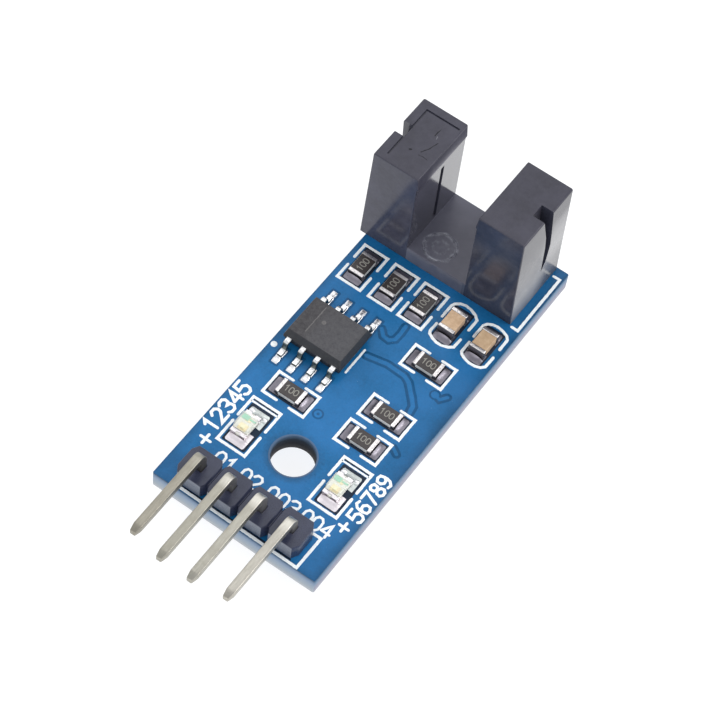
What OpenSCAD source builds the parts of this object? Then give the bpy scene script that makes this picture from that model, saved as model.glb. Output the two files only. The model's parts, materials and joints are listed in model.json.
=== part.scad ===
// Infrared speed sensor module: a slotted optical switch, a comparator and its
// chip parts on a small board, with a bent four-pin header at the front.
// Frame: origin on the board's underside at the centre of the mounting hole,
// +X to the right, +Y from the header towards the slotted switch, +Z up.
// All sizes in millimetres.

/* [Board] */
// Width of the board (X)
board_w = 13.6; // [13.4:0.1:14.2]
// Length of the board (Y)
board_l = 31.3; // [31:0.1:32.2]
// Thickness of the board
board_t = 1.6; // [1.2:0.1:2]

/* [Mounting hole] */
// Diameter of the mounting hole
hole_d = 3.2; // [3:0.1:3.4]
// Distance from the hole's centre to the front edge
hole_inset = 6.9; // [6.8:0.1:7]

/* [Slotted switch] */
// Width of the sensing slot
slot_w = 5; // [4.8:0.1:5.2]
// Width of the housing over both towers at the top
housing_w = 12.6; // [12.4:0.05:12.8]
// Extra width on each side at the foot (mould draft)
housing_draft = 0.26; // [0:0.02:0.3]
// Depth of the housing (Y)
housing_d = 6.2; // [6:0.1:6.4]
// Height of the towers over the board
housing_h = 9.6; // [9:0.1:10]
// Height of the sloped lip at the top of the slot
lip_h = 1.2; // [1:0.05:1.4]
// How far each lip's lower edge stands out from the inner wall
lip_out = 0.09; // [0.02:0.01:0.1]
// How far the lip slopes back behind the inner wall at the top
lip_back = 0.03; // [0.01:0.01:0.1]
// Thickness of the bridge between the towers
bridge_t = 1.4; // [1.2:0.05:1.8]
// Offset of the housing's centre from the board's centre line
housing_x = -0.76; // [-0.8:0.02:-0.5]
// Width of the light slit in each tower's inner wall
slit_w = 0.4; // [0.2:0.05:0.5]
// Offset of the light slits towards the back edge
slit_y = 0.25; // [0:0.05:0.3]
// Width of the outer notch at the top of each tower
notch_w = 1.15; // [0.8:0.05:1.3]
// Depth of the outer notch into the tower
notch_d = 0.8; // [0.6:0.1:0.9]
// Depth of the right tower's notch
notch_right = 0.98; // [0.8:0.02:1]
// Height of the optical axis over the board
optic_z = 6.4; // [6:0.1:6.8]
// Distance between the two leads of the emitter or detector
opto_pitch = 2.54; // [2.54:0.01:2.54]

/* [Comparator] */
// Length of the package (X)
ic_l = 4.9; // [4.8:0.05:5]
// Width of the package (Y)
ic_w = 3.9; // [3.8:0.05:4]
// Height of the package's top over the board
ic_h = 1.6; // [1.5:0.05:1.75]
// Pitch of the leads
ic_pitch = 1.27; // [1.27:0.01:1.27]
// Distance from lead tip to lead tip
ic_span = 6.2; // [6:0.1:6.3]
// Centre of the package, X
ic_x = -3.64; // [-3.7:0.02:-3.4]
// Centre of the package, Y
ic_y = 8.95; // [8.9:0.05:9.1]

/* [Chip resistors and capacitors] */
// Length of a chip
chip_l = 2.0; // [1.9:0.05:2.05]
// Width of a chip
chip_w = 1.25; // [1.2:0.05:1.3]
// Height of a chip resistor
res_h = 0.45; // [0.45:0.05:0.6]
// Height of a chip capacitor
cap_h = 0.85; // [0.7:0.05:1]
// Length of a resistor's end cap
res_cap = 0.28; // [0.25:0.01:0.45]
// Length of a capacitor's end cap
cap_cap = 0.32; // [0.28:0.01:0.5]

/* [Indicator LEDs] */
// Height of the clear lens over the board
led_h = 0.85; // [0.75:0.05:1]
// Thickness of the base plate
led_base_h = 0.3; // [0.25:0.05:0.35]
// Length of the clear lens
led_lens_l = 1.3; // [1.2:0.05:1.4]

/* [Pin header] */
// Number of pins
pins = 4; // [4:1:4]
// Pitch of the pins
pin_pitch = 2.54; // [2.54:0.01:2.54]
// Side of the square pin
pin_s = 0.64; // [0.5:0.02:0.64]
// Depth of the insulator (Y)
ins_d = 2.54; // [2.4:0.02:2.54]
// Height of the insulator
ins_h = 1.4; // [1.3:0.1:1.8]
// Depth of the notches between the insulator's cells
ins_cut = 0.5; // [0.3:0.05:0.6]
// Height of the bent pins' top over the board
run_top = 3; // [2.8:0.1:3.4]
// Reach of the pins past the board's front edge
reach = 5.8; // [5:0.1:7]
// Offset of the header's centre from the board's centre line
header_x = -0.3; // [-0.4:0.05:0]
// Gap from the board's front edge to the insulator
header_gap = 0.45; // [0.3:0.05:0.6]

/* [Solder] */
// How far the leads stand out under the board
lead_out = 1.4; // [1.2:0.1:1.8]
// Thickness of the solder film under the chips
film = 0.05; // [0.03:0.01:0.08]

/* [Hidden] */
$fn = 64;
bt = board_t;
front = -hole_inset;
back = front + board_l;

// slotted switch
hb = back - 0.1;                  // rear face of the housing
hf = hb - housing_d;              // front face
hy = (hb + hf) / 2;               // middle, in Y
tower_w = (housing_w - slot_w) / 2;
wall_out = 1.1;                   // outer wall
cav_x = 1.9;                      // chamber, X
cav_y = 4.8;                      // chamber, Y
cav_top = housing_h - 1.2;        // chamber roof over the board
dev_t = 1.2;                      // emitter and detector, body thickness
dev_w = 4.4;                      // body width
dev_lo = 2.9;                     // body underside over the board
dev_hi = 8.1;                     // body top over the board
dome_r = 1.0;
opto_lead = 0.45;
opto_hole = 0.9;
// X of the middle of each emitter or detector body
dev_x = housing_w / 2 - wall_out - dev_t / 2;

// comparator
ic_mid = 0.85;                    // height of the leads' plane
ic_lead_w = 0.42;
ic_lead_t = 0.2;

// chips: [x, y, turned], turned = 1 has its length along X
RES = [[-5.27, 15.59, 0], [-2.56, 15.59, 0], [0.03, 15.59, 0],
    [3.21, 11.62, 1], [3.24, 6.48, 1], [3.11, 3.84, 1], [-3.04, 3.88, 1]];
CAP = [[2.62, 15.45, 0], [5.28, 15.45, 0]];
LED_PAD = [[-3.81, -0.15, 0], [4.02, -0.19, 0]];
led_off = -0.18;                  // the LEDs sit to the left on their pads
LED = [for (p = LED_PAD) [p[0] + led_off, p[1], 0]];

// header
ins_f = front + header_gap;
pin_y = ins_f + ins_d / 2;
pin_hole = 1.0;
bend_r = 0.15;
ins_side = 0.3;                   // width of a notch on each cell
// the pins differ a little in height and in reach
lift = [0.08, 0.12, 0.2, -0.2];
longer = [-0.15, 0.35, 0.4, -0.15];

function pin_x(k) = header_x + (k - (pins - 1) / 2) * pin_pitch;

module at_chip(p) translate([p[0], p[1], bt]) rotate([0, 0, p[2] == 1 ? 0 : 90]) children();

module sensor_sites() for (s = [-1, 1], t = [-1, 1])
    translate([housing_x + s * dev_x, hy + t * opto_pitch / 2, 0]) children();

// ---------------------------------------------------------------- board
module pcb() {
    color("royalblue") difference() {
        translate([-board_w / 2, front, 0]) cube([board_w, board_l, bt]);
        translate([0, 0, -1]) cylinder(d = hole_d, h = bt + 2);
        for (k = [0 : pins - 1])
            translate([pin_x(k), pin_y, -1]) cylinder(d = pin_hole, h = bt + 2, $fn = 32);
        sensor_sites() translate([0, 0, -1]) cylinder(d = opto_hole, h = bt + 2, $fn = 32);
    }
}

// -------------------------------------------------------------- housing
// outline of the housing seen from the front, foot on y = 0
module housing_outline() {
    wt = housing_w / 2;
    wb = wt + housing_draft;
    si = slot_w / 2;
    e = 0.12;
    polygon([[-wb, 0], [wb, 0], [wt, housing_h - e], [wt - e, housing_h],
        [si + lip_back, housing_h], [si - lip_out, housing_h - lip_h],
        [si, housing_h - lip_h - lip_out], [si, bridge_t + e],
        [si - e, bridge_t], [-si + e, bridge_t], [-si, bridge_t + e],
        [-si, housing_h - lip_h - lip_out], [-si + lip_out, housing_h - lip_h],
        [-si - lip_back, housing_h],
        [-wt + e, housing_h], [-wt, housing_h - e]]);
}

// nd = depth of the notch, lines = 1 where the top plate's joint lines show
module tower_cuts(nd, lines) {
    wt = housing_w / 2;
    // chamber, open at the foot
    translate([wt - wall_out - cav_x, -cav_y / 2, -1])
        cube([cav_x, cav_y, cav_top + 1]);
    // light slit from the slot into the chamber
    translate([slot_w / 2 - 0.5, slit_y - slit_w / 2, bridge_t + 0.3])
        cube([wt - wall_out - cav_x - slot_w / 2 + 1, slit_w, housing_h - 1.95 - bridge_t - 0.3]);
    // outer notch, leaning back and closing near the foot
    translate([wt - nd, 0, 0]) rotate([90, 0, 90])
        linear_extrude(height = nd + 1)
            polygon([[-notch_w / 2, housing_h + 1], [-notch_w / 2, housing_h],
                [0.15, 7], [0.33, 5.5], [0.36, 2.7], [0.85, 3.5], [1.08, 5.2],
                [0.95, 6.6], [notch_w / 2, housing_h],
                [notch_w / 2, housing_h + 1]]);
    // joint lines of the top plate
    if (lines == 1) {
        translate([wt - nd - 0.08, -housing_d / 2 + 0.6, housing_h - 0.12])
            cube([0.16, housing_d - 1.35, 1]);
        translate([slot_w / 2 + 0.25, housing_d / 2 - 0.85, housing_h - 0.12])
            cube([wt - nd - slot_w / 2 - 0.19, 0.16, 1]);
    }
}

module slot_housing() {
    color("#4a4852") translate([housing_x, hy, bt]) difference() {
        translate([0, housing_d / 2, 0]) rotate([90, 0, 0])
            linear_extrude(height = housing_d) housing_outline();
        tower_cuts(notch_right, 0);
        mirror([1, 0, 0]) tower_cuts(notch_d, 1);
        // round mould mark on the slot's floor
        translate([-0.7, -1.54, bridge_t - 0.06]) difference() {
            cylinder(r = 1.3, h = 1);
            translate([0, 0, -1]) cylinder(r = 1.12, h = 3);
        }
    }
}

// ---------------------------------------------- emitter and detector
module opto_device() {
    translate([housing_w / 2 - wall_out - dev_t, -dev_w / 2, dev_lo])
        cube([dev_t, dev_w, dev_hi - dev_lo]);
    intersection() {
        translate([housing_w / 2 - wall_out - dev_t + 0.4, 0, optic_z])
            sphere(r = dome_r, $fn = 48);
        translate([housing_w / 2 - wall_out - dev_t - 1, -dome_r, optic_z - dome_r])
            cube([1.2, 2 * dome_r, 2 * dome_r]);
    }
}

module opto_lead_pair() {
    for (t = [-1, 1])
        translate([dev_x - opto_lead / 2, t * opto_pitch / 2 - opto_lead / 2, -bt - lead_out])
            cube([opto_lead, opto_lead, bt + lead_out + dev_lo]);
}

module ir_emitter() {
    color("lightsteelblue") translate([housing_x, hy, bt]) mirror([1, 0, 0]) opto_device();
}

module emitter_leads() {
    color("silver") translate([housing_x, hy, bt]) mirror([1, 0, 0]) opto_lead_pair();
}

module photo_detector() {
    color("#2a2030") translate([housing_x, hy, bt]) opto_device();
}

module detector_leads() {
    color("silver") translate([housing_x, hy, bt]) opto_lead_pair();
}

// ----------------------------------------------------------- comparator
// side view of a moulded package: wide at the leads' plane, narrower above and below
module package_side(half, top_in, low_in) {
    polygon([[-half + low_in, 0.15], [half - low_in, 0.15], [half, ic_mid - 0.1],
        [half, ic_mid + 0.1], [half - top_in, ic_h], [-half + top_in, ic_h],
        [-half, ic_mid + 0.1], [-half, ic_mid - 0.1]]);
}

module ic_sites() for (s = [0, 1], k = [0 : 3])
    rotate([0, 0, 180 * s]) translate([(k - 1.5) * ic_pitch, 0, 0]) children();

module comparator_body() {
    color("#45434a") translate([ic_x, ic_y, bt]) difference() {
        intersection() {
            translate([0, ic_w / 2, 0]) rotate([90, 0, 0])
                linear_extrude(height = ic_w) package_side(ic_l / 2, 0.22, 0.15);
            translate([-ic_l / 2, 0, 0]) rotate([90, 0, 90])
                linear_extrude(height = ic_l) package_side(ic_w / 2, 0.3, 0.2);
        }
        // pockets of the leads
        ic_sites() translate([-ic_lead_w / 2, ic_w / 2 - 0.3, ic_mid - ic_lead_t / 2])
            cube([ic_lead_w, 1, ic_lead_t]);
        // dimple that marks the first lead
        translate([-ic_l / 2 + 0.85, -ic_w / 2 + 0.95, ic_h - 0.06]) cylinder(r = 0.3, h = 1, $fn = 40);
    }
}

module comparator_leads() {
    s = ic_span / 2;
    t = ic_lead_t;
    b = ic_w / 2;
    color("gainsboro") translate([ic_x, ic_y, bt]) ic_sites()
        translate([-ic_lead_w / 2, 0, 0]) rotate([90, 0, 90]) linear_extrude(height = ic_lead_w)
            polygon([[b - 0.3, ic_mid - t / 2], [b + 0.26, ic_mid - t / 2],
                [b + 0.34, ic_mid - t / 2 - 0.06], [b + 0.48, film + 0.06],
                [b + 0.56, film], [s, film], [s, film + t], [b + 0.72, film + t],
                [b + 0.66, film + t + 0.06], [b + 0.52, ic_mid + t / 2 - 0.12],
                [b + 0.4, ic_mid + t / 2], [b - 0.3, ic_mid + t / 2]]);
}

// ---------------------------------------------------------------- chips
cap_t = 0.04;                     // thickness of an end cap

module chip_core(h) {
    translate([-chip_l / 2 + cap_t, -chip_w / 2, film + cap_t])
        cube([chip_l - 2 * cap_t, chip_w, h - film - 2 * cap_t]);
}

// end caps that wrap the end, the top and the underside of a chip
module chip_caps(h, len) {
    for (s = [-1, 1]) difference() {
        translate([s > 0 ? chip_l / 2 - len : -chip_l / 2, -chip_w / 2, film])
            cube([len, chip_w, h - film]);
        translate([-chip_l / 2 + cap_t, -chip_w / 2 - 1, film + cap_t])
            cube([chip_l - 2 * cap_t, chip_w + 2, h - film - 2 * cap_t]);
    }
}

module resistor(k) {
    color("#262428") at_chip(RES[k]) {
        chip_core(res_h);
        // glazed middle, flush with the end caps
        translate([-chip_l / 2 + res_cap, -chip_w / 2 + 0.03, film + cap_t])
            cube([chip_l - 2 * res_cap, chip_w - 0.06, res_h - film - cap_t]);
    }
}

module resistor_1() resistor(0);
module resistor_2() resistor(1);
module resistor_3() resistor(2);
module resistor_4() resistor(3);
module resistor_5() resistor(4);
module resistor_6() resistor(5);
module resistor_7() resistor(6);

module resistor_caps() {
    color("silver") for (p = RES) at_chip(p) chip_caps(res_h, res_cap);
}

module capacitor(k) {
    color("#c69a6c") at_chip(CAP[k]) chip_core(cap_h);
}

module capacitor_1() capacitor(0);
module capacitor_2() capacitor(1);

// a capacitor's end cap wraps all four sides too
module capacitor_caps() {
    color("silver") for (p = CAP) at_chip(p) for (s = [-1, 1]) difference() {
        translate([s > 0 ? chip_l / 2 - cap_cap : -chip_l / 2, -chip_w / 2 - cap_t, film])
            cube([cap_cap, chip_w + 2 * cap_t, cap_h - film]);
        chip_core(cap_h);
    }
}

// ----------------------------------------------------------------- LEDs
module led_base(k) {
    color("ivory") at_chip(LED[k])
        translate([-chip_l / 2 + cap_t, -chip_w / 2, film + cap_t])
            cube([chip_l - 2 * cap_t, chip_w, led_base_h - cap_t]);
}

module led_lens(k) {
    w = chip_w / 2;
    z = film + led_base_h;
    color("honeydew") at_chip(LED[k]) intersection() {
        translate([0, w, 0]) rotate([90, 0, 0]) linear_extrude(height = 2 * w)
            polygon([[-led_lens_l / 2, z], [led_lens_l / 2, z],
                [led_lens_l / 2 - 0.08, led_h], [-led_lens_l / 2 + 0.08, led_h]]);
        translate([-2, 0, 0]) rotate([90, 0, 90]) linear_extrude(height = 4)
            polygon([[-w, z], [w, z], [w - 0.04, led_h], [-w + 0.04, led_h]]);
    }
}

module led_1_base() led_base(0);
module led_1_lens() led_lens(0);
module led_2_base() led_base(1);
module led_2_lens() led_lens(1);

module led_caps() {
    z = film + led_base_h;
    color("silver") for (p = LED) at_chip(p) for (s = [-1, 1]) difference() {
        translate([s > 0 ? chip_l / 2 - 0.32 : -chip_l / 2, -chip_w / 2, film])
            cube([0.32, chip_w, z + cap_t - film]);
        translate([-chip_l / 2 + cap_t, -chip_w / 2 - 1, film + cap_t])
            cube([chip_l - 2 * cap_t, chip_w + 2, led_base_h - cap_t]);
    }
}

// --------------------------------------------------------------- header
// each cell is an eight-sided block, and the cells are joined side to side
module header_body() {
    a = pin_pitch / 2;
    c = ins_side;
    d = ins_cut;
    color("#3c3a42") difference() {
        translate([0, ins_f, bt]) linear_extrude(height = ins_h) polygon(concat(
            [for (k = [0 : pins - 1]) each [[pin_x(k) - a, d], [pin_x(k) - a + c, 0],
                [pin_x(k) + a - c, 0], [pin_x(k) + a, d]]],
            [for (k = [pins - 1 : -1 : 0]) each [[pin_x(k) + a, ins_d - d],
                [pin_x(k) + a - c, ins_d], [pin_x(k) - a + c, ins_d],
                [pin_x(k) - a, ins_d - d]]]));
        for (k = [0 : pins - 1])
            translate([pin_x(k) - pin_s / 2, pin_y - pin_s / 2, 0])
                cube([pin_s, pin_s, bt + ins_h + 1]);
        // groove over the top between two cells
        for (k = [0 : pins - 2]) translate([pin_x(k) + a, ins_f - 1, bt + ins_h])
            rotate([-90, 0, 0]) linear_extrude(height = ins_d + 2)
                polygon([[-0.15, -0.1], [-0.15, 0], [0, 0.2], [0.15, 0], [0.15, -0.1]]);
    }
}

// side view of a bent pin: the leg on x = 0, the free end towards -x
module pin_side(k) {
    h = pin_s / 2;
    zr = bt + run_top + lift[k];          // top of the free end
    zc = zr - pin_s - bend_r;             // height of the bend's centre
    yc = -h - bend_r;
    tip = front - reach - longer[k] - pin_y;
    difference() {
        polygon([[h, zr], [tip + 0.6, zr], [tip, zr - 0.12],
            [tip, zr - pin_s + 0.12], [tip + 0.6, zr - pin_s], [-h, zr - pin_s],
            [-h, -lead_out + 0.25], [-0.16, -lead_out], [0.16, -lead_out],
            [h, -lead_out + 0.25]]);
        translate([yc, zc]) difference() {
            square(2);
            circle(r = bend_r + pin_s);
        }
    }
    // inner side of the bend
    translate([yc, zc]) difference() {
        square(bend_r + 0.05);
        circle(r = bend_r);
    }
}

module header_pin(k) {
    h = pin_s / 2;
    tip = front - reach - longer[k];
    color("#c9c4b4") translate([pin_x(k), 0, 0]) intersection() {
        translate([-h, pin_y, 0]) rotate([90, 0, 90]) linear_extrude(height = pin_s) pin_side(k);
        translate([0, 0, -5]) linear_extrude(height = 20)
            polygon([[-h, pin_y + 1], [-h, tip + 0.6], [-h + 0.12, tip],
                [h - 0.12, tip], [h, tip + 0.6], [h, pin_y + 1]]);
    }
}

module header_pin_1() header_pin(0);
module header_pin_2() header_pin(1);
module header_pin_3() header_pin(2);
module header_pin_4() header_pin(3);

// --------------------------------------------------------------- solder
// a plated hole filled with solder, with a cone round the lead under the board
module joint(hole, lead, foot, low) {
    difference() {
        union() {
            cylinder(d = hole, h = bt, $fn = 32);
            translate([0, 0, -low]) cylinder(r1 = lead * 0.72, r2 = foot, h = low, $fn = 32);
        }
        translate([-lead / 2, -lead / 2, -5]) cube([lead, lead, 10]);
    }
}

module header_solder() {
    color("lightgray") for (k = [0 : pins - 1])
        translate([pin_x(k), pin_y, 0]) joint(pin_hole, pin_s, 0.92, 0.95);
}

module sensor_solder() {
    color("lightgray") sensor_sites() joint(opto_hole, opto_lead, 0.85, 0.85);
}

// solder at the end of a chip: film under the cap and a fillet up its end
module chip_fillet(out, up, under, w) {
    for (s = [0, 1]) rotate([0, 0, 180 * s]) translate([chip_l / 2, w / 2, 0])
        rotate([90, 0, 0]) linear_extrude(height = w)
            polygon([[-under, 0], [out, 0], [out - 0.06, 0.06], [out * 0.55, 0.1],
                [out * 0.22, up * 0.5], [0, up], [0, film], [-under, film]]);
}

module ic_fillet() {
    s = ic_span / 2;
    ic_sites() translate([-0.25, 0, 0]) rotate([90, 0, 90]) linear_extrude(height = 0.5)
        polygon([[2.35, 0], [3.78, 0], [3.72, 0.06], [s + 0.3, 0.12], [s, 0.2],
            [s, film], [2.35, film]]);
}

module smd_solder() {
    color("lightgray") {
        for (p = RES) at_chip(p) chip_fillet(0.5, 0.36, res_cap, chip_w + 0.05);
        for (p = CAP) at_chip(p) chip_fillet(0.5, 0.4, cap_cap, chip_w + 0.05);
        for (p = LED_PAD) at_chip(p) for (s = [0, 1]) rotate([0, 0, 180 * s])
            translate([0.32, -0.79, 0]) cube([1.3, 1.58, film]);
        for (p = LED) at_chip(p) chip_fillet(0.5, 0.3, 0.32, chip_w - 0.05);
        translate([ic_x, ic_y, bt]) ic_fillet();
    }
}

pcb();
slot_housing();
ir_emitter();
emitter_leads();
photo_detector();
detector_leads();
comparator_body();
comparator_leads();
resistor_1();
resistor_2();
resistor_3();
resistor_4();
resistor_5();
resistor_6();
resistor_7();
resistor_caps();
capacitor_1();
capacitor_2();
capacitor_caps();
led_1_base();
led_1_lens();
led_2_base();
led_2_lens();
led_caps();
header_body();
header_pin_1();
header_pin_2();
header_pin_3();
header_pin_4();
header_solder();
sensor_solder();
smd_solder();
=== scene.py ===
"""Infrared speed sensor module, looks. Everything is built in millimetres in the
model's own frame and scaled to metres when a mesh is made."""
import json
import math
import random

import bmesh
import bpy
from mathutils import Matrix, Vector

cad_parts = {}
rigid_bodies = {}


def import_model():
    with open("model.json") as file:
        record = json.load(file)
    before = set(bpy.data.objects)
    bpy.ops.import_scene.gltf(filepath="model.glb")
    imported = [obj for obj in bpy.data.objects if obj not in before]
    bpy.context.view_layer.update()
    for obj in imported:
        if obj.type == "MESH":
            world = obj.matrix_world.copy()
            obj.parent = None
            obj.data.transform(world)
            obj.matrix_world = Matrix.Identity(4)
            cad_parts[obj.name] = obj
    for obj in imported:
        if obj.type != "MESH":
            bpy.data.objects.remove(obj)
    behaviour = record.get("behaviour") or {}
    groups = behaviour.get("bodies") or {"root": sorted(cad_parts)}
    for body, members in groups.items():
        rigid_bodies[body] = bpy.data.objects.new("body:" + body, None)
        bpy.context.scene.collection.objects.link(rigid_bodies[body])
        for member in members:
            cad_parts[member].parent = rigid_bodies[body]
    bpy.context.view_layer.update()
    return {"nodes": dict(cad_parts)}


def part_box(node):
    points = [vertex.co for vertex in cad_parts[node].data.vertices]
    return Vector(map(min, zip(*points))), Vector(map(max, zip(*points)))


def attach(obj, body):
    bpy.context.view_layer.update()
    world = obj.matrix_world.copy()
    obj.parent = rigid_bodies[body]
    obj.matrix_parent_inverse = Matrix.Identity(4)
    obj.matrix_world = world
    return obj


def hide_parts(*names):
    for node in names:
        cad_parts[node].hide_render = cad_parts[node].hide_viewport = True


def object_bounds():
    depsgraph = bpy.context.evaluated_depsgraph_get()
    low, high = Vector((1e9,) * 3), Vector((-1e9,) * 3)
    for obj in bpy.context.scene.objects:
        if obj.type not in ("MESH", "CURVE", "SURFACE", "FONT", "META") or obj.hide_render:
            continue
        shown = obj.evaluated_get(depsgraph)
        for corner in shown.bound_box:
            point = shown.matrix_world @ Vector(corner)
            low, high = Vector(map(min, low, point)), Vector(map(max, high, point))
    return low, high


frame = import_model()
NODES = frame["nodes"]
MM = 0.001
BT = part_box("pcb")[1].z / MM            # top of the board
SCENE = bpy.context.scene
COLL = SCENE.collection


def mmbox(node):
    lo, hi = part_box(node)
    return [c / MM for c in lo], [c / MM for c in hi]


# =====================================================================
# materials
# =====================================================================
class G:
    """A small builder for one node material. s.p is the place in millimetres."""

    def __init__(s, name, base=(0.5, 0.5, 0.5), rough=0.5, metal=0.0, spec=0.5,
                 coat=0.0, coat_rough=0.1, ior=1.5, trans=0.0):
        m = bpy.data.materials.new(name)
        m.use_nodes = True
        s.m, s.nt = m, m.node_tree
        s.nt.nodes.clear()
        s.out = s.nt.nodes.new("ShaderNodeOutputMaterial")
        b = s.b = s.nt.nodes.new("ShaderNodeBsdfPrincipled")
        s.nt.links.new(b.outputs[0], s.out.inputs[0])
        b.inputs["Base Color"].default_value = (*base, 1)
        b.inputs["Roughness"].default_value = rough
        b.inputs["Metallic"].default_value = metal
        b.inputs["Specular IOR Level"].default_value = spec
        b.inputs["Coat Weight"].default_value = coat
        b.inputs["Coat Roughness"].default_value = coat_rough
        b.inputs["IOR"].default_value = ior
        b.inputs["Transmission Weight"].default_value = trans
        tc = s.nt.nodes.new("ShaderNodeTexCoord")
        sc = s.nt.nodes.new("ShaderNodeVectorMath")
        sc.operation = "SCALE"
        sc.inputs["Scale"].default_value = 1000.0
        s.nt.links.new(tc.outputs["Object"], sc.inputs[0])
        s.p = sc.outputs[0]

    def _in(s, sock, v):
        if isinstance(v, bpy.types.NodeSocket):
            s.nt.links.new(v, sock)
        elif isinstance(v, (tuple, list)) and len(v) == 3 and len(sock.default_value) == 4:
            sock.default_value = (*v, 1)
        else:
            sock.default_value = v

    def stretch(s, k):
        n = s.nt.nodes.new("ShaderNodeVectorMath")
        n.operation = "MULTIPLY"
        s.nt.links.new(s.p, n.inputs[0])
        n.inputs[1].default_value = k
        return n.outputs[0]

    def noise(s, scale, detail=3.0, rough=0.55, vec=None, dist=0.0):
        n = s.nt.nodes.new("ShaderNodeTexNoise")
        s.nt.links.new(vec or s.p, n.inputs["Vector"])
        n.inputs["Scale"].default_value = scale
        n.inputs["Detail"].default_value = detail
        n.inputs["Roughness"].default_value = rough
        n.inputs["Distortion"].default_value = dist
        return n.outputs["Fac"]

    def voronoi(s, scale, feature="F1", vec=None, rand=1.0):
        n = s.nt.nodes.new("ShaderNodeTexVoronoi")
        n.feature = feature
        s.nt.links.new(vec or s.p, n.inputs["Vector"])
        n.inputs["Scale"].default_value = scale
        n.inputs["Randomness"].default_value = rand
        return n.outputs["Distance"]

    def wave(s, scale, direction="X", dist=0.0, detail=0.0, vec=None):
        n = s.nt.nodes.new("ShaderNodeTexWave")
        n.bands_direction = direction
        s.nt.links.new(vec or s.p, n.inputs["Vector"])
        n.inputs["Scale"].default_value = scale
        n.inputs["Distortion"].default_value = dist
        n.inputs["Detail"].default_value = detail
        return n.outputs["Fac"]

    def axis(s, k):
        n = s.nt.nodes.new("ShaderNodeSeparateXYZ")
        s.nt.links.new(s.p, n.inputs[0])
        return n.outputs[k]

    def normal(s, k, kind="Normal"):
        g = s.nt.nodes.new("ShaderNodeNewGeometry")
        n = s.nt.nodes.new("ShaderNodeSeparateXYZ")
        s.nt.links.new(g.outputs[kind], n.inputs[0])
        return n.outputs[k]

    def math(s, op, a, b=0.0, c=None, clamp=False):
        n = s.nt.nodes.new("ShaderNodeMath")
        n.operation = op
        n.use_clamp = clamp
        s._in(n.inputs[0], a)
        s._in(n.inputs[1], b)
        if c is not None:
            s._in(n.inputs[2], c)
        return n.outputs[0]

    def remap(s, v, a, b, c, d):
        n = s.nt.nodes.new("ShaderNodeMapRange")
        s._in(n.inputs["Value"], v)
        for k, x in zip(("From Min", "From Max", "To Min", "To Max"), (a, b, c, d)):
            n.inputs[k].default_value = x
        return n.outputs["Result"]

    def ramp(s, fac, stops, mode="LINEAR"):
        n = s.nt.nodes.new("ShaderNodeValToRGB")
        n.color_ramp.interpolation = mode
        e = n.color_ramp.elements
        while len(e) > len(stops):
            e.remove(e[-1])
        while len(e) < len(stops):
            e.new(1.0)
        for el, (pos, col) in zip(e, stops):
            el.position = pos
            el.color = (*col, 1) if len(col) == 3 else col
        s._in(n.inputs[0], fac)
        return n.outputs[0]

    def mix(s, fac, a, b, mode="MIX"):
        n = s.nt.nodes.new("ShaderNodeMix")
        n.data_type = "RGBA"
        n.blend_type = mode
        s._in(n.inputs[0], fac)
        s._in(n.inputs[6], a)
        s._in(n.inputs[7], b)
        return n.outputs[2]

    def bump(s, height, dist_mm, strength=1.0, prev=None):
        n = s.nt.nodes.new("ShaderNodeBump")
        n.inputs["Strength"].default_value = strength
        n.inputs["Distance"].default_value = dist_mm * MM
        s._in(n.inputs["Height"], height)
        if prev is not None:
            s.nt.links.new(prev, n.inputs["Normal"])
        return n.outputs[0]

    def set(s, **kw):
        for k, v in kw.items():
            s._in(s.b.inputs[k.replace("_", " ")], v)
        return s


def srgb(r, g, b):
    def f(c):
        c /= 255.0
        return c / 12.92 if c <= 0.04045 else ((c + 0.055) / 1.055) ** 2.4
    return f(r), f(g), f(b)


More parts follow.
